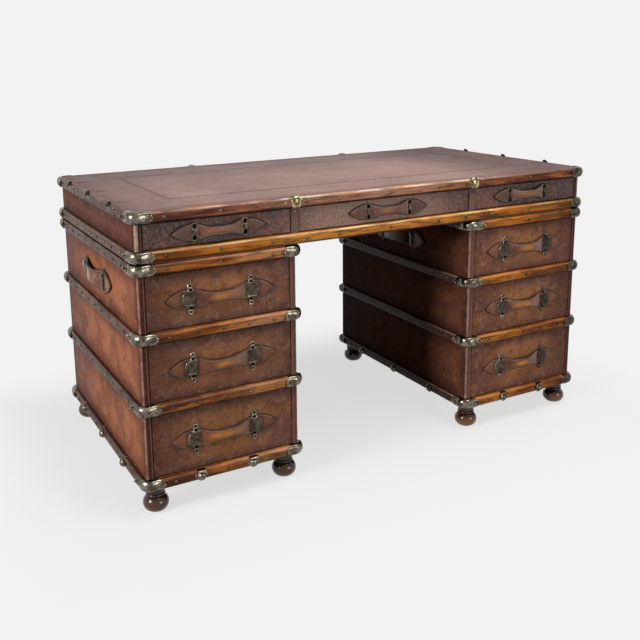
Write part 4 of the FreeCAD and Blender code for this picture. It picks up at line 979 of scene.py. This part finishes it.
def clasp_sheet():
    """A brass clasp over the rounded edge of a rail: eared plate and tongue-shaped boss.

    x runs along the rail, z outwards from its face and y up from its top.
    """
    sheet = Sheet()

    def over(x, s, rise):
        """A point at a height above the rail's surface, s along it from the fold's start."""
        out, up = section(s + FOLD, rise) if s > 0 else (rise, s + FOLD)
        return Vector((x, out, up - SLAT))

    plate = [(-19, 14), (-17.5, 18), (-14, 19.4), (-10, 19.6), (-6, 19.6), (-2, 20), (1, 21),
             (4, 21.4), (7.5, 20), (11, 17), (16, 15.6), (22, 14.6), (27, 13.4), (30.5, 11.5),
             (32, 9)]
    lifts = ((-1, 0), (-0.9, 0.8), (-0.72, 0.1), (-0.3, 0), (0.3, 0), (0.72, 0.1),
             (0.9, 0.8), (1, 0))
    sheet.grid([[over(share * half, s, 0.4 + lift) for share, lift in lifts]
                for s, half in plate])
    boss = [(-14.5, 5), (-13, 8.6), (-10.5, 10.6), (-7, 11.6), (-3.5, 12), (-1, 12), (2, 11.6),
            (5.5, 11), (9, 10.4), (14, 9.6), (19, 8.4), (23, 6.4), (25, 3.2)]
    rows = []
    for k, (s, half) in enumerate(boss):
        row = []
        for share in (-1, -0.92, -0.7, -0.35, 0, 0.35, 0.7, 0.92, 1):
            crown = sqrt(1 - share * share) * (0.35 if k in (0, len(boss) - 1) else 1)
            sunk = 3 if 2 <= k <= 4 and abs(share) < 0.6 else 0
            row.append(over(share * half, s, 1.2 + 3.6 * crown - sunk))
        rows.append(row)
    # The boss's sunk middle takes the near-black finish: grime and painted shade.
    sheet.grid(rows, 1.2, lambda i, j: RECESS if 2 <= i <= 3 and 3 <= j <= 4 else MAIN)
    sheet.soften()
    for side in (-1, 1):
        sheet.screw(2.4, Vector((side * 12.5, 2.1, -ROUND - 12)), 0.7 * side, ON_TOP)
    return sheet


def placed(name, finishes, made):
    """One object of several copies of sheets; made holds (sheet, matrix)."""
    bm = bmesh.new()
    for sheet, matrix in made:
        mesh = to_mesh(sheet.bm)
        mesh.transform(matrix)
        if matrix.determinant() < 0:
            mesh.flip_normals()
        bm.from_mesh(mesh)
        bpy.data.meshes.remove(mesh)
    for face in bm.faces:
        face.smooth = True
    return to_object(name, bm, finishes)


def frame_at(origin, *axes):
    """A matrix from millimetres along a piece's own axes to metres in the desk's frame."""
    columns = [axis * MM for axis in axes]
    return Matrix.Translation(origin) @ Matrix(columns).transposed().to_4x4()


def held(sheet, strap, spot):
    """A keeper near each end of a strap at a place, its tip end towards the strap's tip."""
    return [(sheet, spot @ Matrix.Translation((end * strap.hold, 0, 0))
             @ Matrix.Diagonal((end, 1, 1, 1))) for end in (-1, 1)]


RIGHT, REAR, UP = Matrix.Identity(3)
LEFT, FRONT = -RIGHT, -REAR
# The finishes of the metal pieces' material slots.
KEEPER_METALS = ("keeper_metal", "keeper_rim", "recess_shade")
CLASP_METALS = ("bright_brass", "bright_brass", "recess_shade")
CAP_METALS = ("aged_brass", "cap_rim", "recess_shade", "band_metal", "writing_leather")

pedestal_pull = Strap(300, 55, 31, 16, 87, 24, 68.5), keeper(37, 19, 32.6, 7.4, 5.8, 3.8, 16, 7)
top_pull = Strap(262, 46, 26, 13, 68, 20, 58), slotted_keeper(18, 46, 5.4, 4.6, 5.4)
carry_strap = Strap(300, 62, 44, 15, 84, 26, 74, 1.6)
carry_keeper = bar_keeper(10.5, 26, 35.5, 11.6)

drawers = [(f"{side}_{tier}_drawer", pedestal_pull) for side in SIDES for tier in TIERS]
drawers += [(f"{top}_drawer", top_pull) for top in TOPS]
for drawer, (strap, sheet) in drawers:
    low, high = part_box(f"{drawer}_front")
    middle = Vector(((low.x + high.x) / 2, low.y, (low.z + high.z) / 2))
    spot = frame_at(middle, RIGHT, UP, FRONT)
    piece = strap_mesh(f"{drawer}_strap", strap, [spot])
    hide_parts(f"{drawer}_pull")
    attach(piece, drawer)
    piece = placed(f"{drawer}_holders", KEEPER_METALS, held(sheet, strap, spot))
    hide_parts(f"{drawer}_keepers")
    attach(piece, drawer)

for side in SIDES:
    pedestal = f"{side}_pedestal"
    low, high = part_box(f"{pedestal}_leather")
    level = sum(PEDESTAL_BAYS[2]) / 2
    spots = [frame_at(Vector((x, 0, level)), REAR, UP, out)
             for x, out in ((low.x, LEFT), (high.x, RIGHT))]
    piece = strap_mesh(f"{side}_carry_straps", carry_strap, spots)
    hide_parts(f"{pedestal}_carry_handles")
    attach(piece, pedestal)
    made = [one for spot in spots for one in held(carry_keeper, carry_strap, spot)]
    piece = placed(f"{side}_carry_holders", KEEPER_METALS, made)
    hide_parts(f"{pedestal}_carry_keepers")
    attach(piece, pedestal)

clasp = clasp_sheet()
low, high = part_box("top_case_rails")
# The clasps stand over the stiles, whose centre is 18 mm in from the CAD clasps' outer edge.
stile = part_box("brass_clasps")[1].x - 18 * MM
made = [(clasp, frame_at(Vector((end * stile, y, DESK_TOP)), RIGHT, UP, out))
        for y, out in ((low.y, FRONT), (high.y, REAR)) for end in (-1, 1)]
clasps = placed("clasps", CLASP_METALS, made)
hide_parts("brass_clasps")
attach(clasps, "top_case")

# ---- caps, brackets and bands

cap, band = corner_cap(), edge_band()
face_bracket, side_bracket = cast_bracket(False), cast_bracket(True)


def caps(node, levels):
    """Caps at the four corners of a node's box, at each of some heights."""
    low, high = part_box(node)
    off = CORNER * MM
    return [(cap, frame_at(Vector((x, y, level)), way_x, way_y, UP))
            for level in levels
            for x, way_x in ((low.x + off, RIGHT), (high.x - off, LEFT))
            for y, way_y in ((low.y + off, REAR), (high.y - off, FRONT))]


def side_spots(node, level):
    """Where three fittings stand along each side of a node's box."""
    low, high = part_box(node)
    return [frame_at(Vector((x, step * 0.2, level)), along, UP, out)
            for x, along, out in ((low.x, FRONT, LEFT), (high.x, REAR, RIGHT))
            for step in (-1, 0, 1)]


HALF_SLAT = SLAT * MM
LEVELS = [PEDESTAL_BAYS[0][0] - HALF_SLAT] + [high + HALF_SLAT for _, high in PEDESTAL_BAYS]
CASE_LEVELS = [CASE_BAY[0] - HALF_SLAT, CASE_BAY[1] + HALF_SLAT]
BRACKET_OFF = 74 * MM
for side in SIDES:
    pedestal = f"{side}_pedestal"
    rails = f"{pedestal}_rails"
    low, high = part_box(rails)
    made = caps(rails, LEVELS)
    for y, out, along in ((low.y, FRONT, RIGHT), (high.y, REAR, LEFT)):
        for off in (-BRACKET_OFF, BRACKET_OFF):
            spot = Vector(((low.x + high.x) / 2 + off, y, LEVELS[0]))
            made.append((face_bracket, frame_at(spot, along, UP, out)))
    made += [(side_bracket, spot) for spot in side_spots(rails, LEVELS[0])]
    piece = placed(f"{pedestal}_caps", CAP_METALS, made)
    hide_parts(f"{pedestal}_metalwork")
    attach(piece, pedestal)

made = caps("top_case_rails", CASE_LEVELS)
made += [(band, spot) for spot in side_spots("top_case_rails", CASE_LEVELS[1])]
piece = placed("top_case_caps", CAP_METALS, made)
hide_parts("top_case_metalwork")
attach(piece, "top_case")


# ---- camera, light, floor

# The camera fitted to the photo: degrees, metres, and pixels of its 640 by 640 frame.
AZIMUTH, ELEVATION, ROLL = -27.96, 11.61, -0.83
TARGET, DISTANCE = Vector((-0.11052, 0, 0.61718)), 2.56697
FRAME_PX, FOCAL_PX, CENTRE_PX = 640, 833.16, (291.73, 226.99)
# Linear grey of the backdrop.
BACKDROP = (0.888, 0.888, 0.888, 1)


def make_camera():
    data = bpy.data.cameras.new("camera")
    camera = linked("camera", data)
    a, e, roll = (radians(angle) for angle in (AZIMUTH, ELEVATION, ROLL))
    away = Vector((sin(a) * cos(e), -cos(a) * cos(e), sin(e)))
    right = UP.cross(away).normalized()
    up = away.cross(right)
    side = right * cos(roll) + up * sin(roll)
    head = up * cos(roll) - right * sin(roll)
    camera.location = TARGET + away * DISTANCE
    camera.rotation_mode = "QUATERNION"
    camera.rotation_quaternion = Matrix((side, head, away)).transposed().to_quaternion()
    data.sensor_width = 36
    data.lens = FOCAL_PX / FRAME_PX * data.sensor_width
    data.shift_x = (FRAME_PX / 2 - CENTRE_PX[0]) / FRAME_PX
    data.shift_y = (CENTRE_PX[1] - FRAME_PX / 2) / FRAME_PX
    data.clip_start, data.clip_end = 0.05, 200
    bpy.context.scene.camera = camera


def area(name, place, target, width, height, power):
    """A white rectangular lamp, in metres and watts."""
    data = bpy.data.lights.new(name, "AREA")
    data.shape = "RECTANGLE"
    data.size, data.size_y = width, height
    data.energy = power
    light = linked(name, data)
    light.visible_camera = False
    light.location = place
    light.rotation_mode = "QUATERNION"
    light.rotation_quaternion = (Vector(target) - Vector(place)).to_track_quat("-Z", "Y")


def seen_rays(graph):
    """1 for camera, glossy and transmission rays."""
    camera, glossy, through = (graph.node("LightPath", out=f"Is {kind} Ray")
                               for kind in ("Camera", "Glossy", "Transmission"))
    return camera.most(glossy).most(through)


def make_world(level):
    """Dim white light all round, seen as the backdrop."""
    world = bpy.data.worlds.new("studio")
    bpy.context.scene.world = world
    graph = Graph(world)
    lamp = graph.node("Background", {0: (1, 1, 1, 1), 1: level})
    seen = graph.node("Background", {0: BACKDROP})
    both = graph.node("MixShader", {0: seen_rays(graph), 1: lamp, 2: seen})
    graph.node("OutputWorld", {0: both}, None)


def make_floor(albedo, glow, bounce):
    """A pale floor that keeps its shadows near the desk and fades into the backdrop."""
    bpy.ops.mesh.primitive_plane_add(size=120)
    floor = bpy.context.object
    floor.name = "floor"
    paint = Paint("floor")
    seen = seen_rays(paint)
    fine = paint.noise(30, 2).step(0.3, 0.7, albedo, albedo * 0.995)
    matt = paint.node("BsdfDiffuse", {0: fine * seen.step(0, 1, bounce, 1)})
    light = paint.node("Emission", {"Strength": seen * glow})
    near = paint.node("AddShader", {0: matt, 1: light})
    far = paint.node("Emission", {"Color": BACKDROP})
    away = (abs(paint.x) - CASE_HALF).most(abs(paint.y) - DEEP_HALF)
    both = paint.node("MixShader", {0: away.step(0.02, 0.45) * seen, 1: near, 2: far})
    paint.node("OutputMaterial", {0: both}, None)
    floor.data.materials.append(paint.material)


make_camera()
make_world(0.018)
area("key", (-3.7, -0.95, 1.8), (-0.5, 0, 0.4), 1.1, 1.4, 125)
area("overhead", (1.1, -0.75, 3.2), (0.2, 0, 0.6), 3, 0.9, 80)
area("fill", (1.35, -3.9, 1), (0, 0, 0.4), 2, 1.4, 52)
area("back", (1.8, 3.3, 0.4), (0.7, 0, 0.4), 2.4, 0.6, 45)
make_floor(0.2, 0.66, 0.3)

view = bpy.context.scene.view_settings
view.view_transform = "Standard"
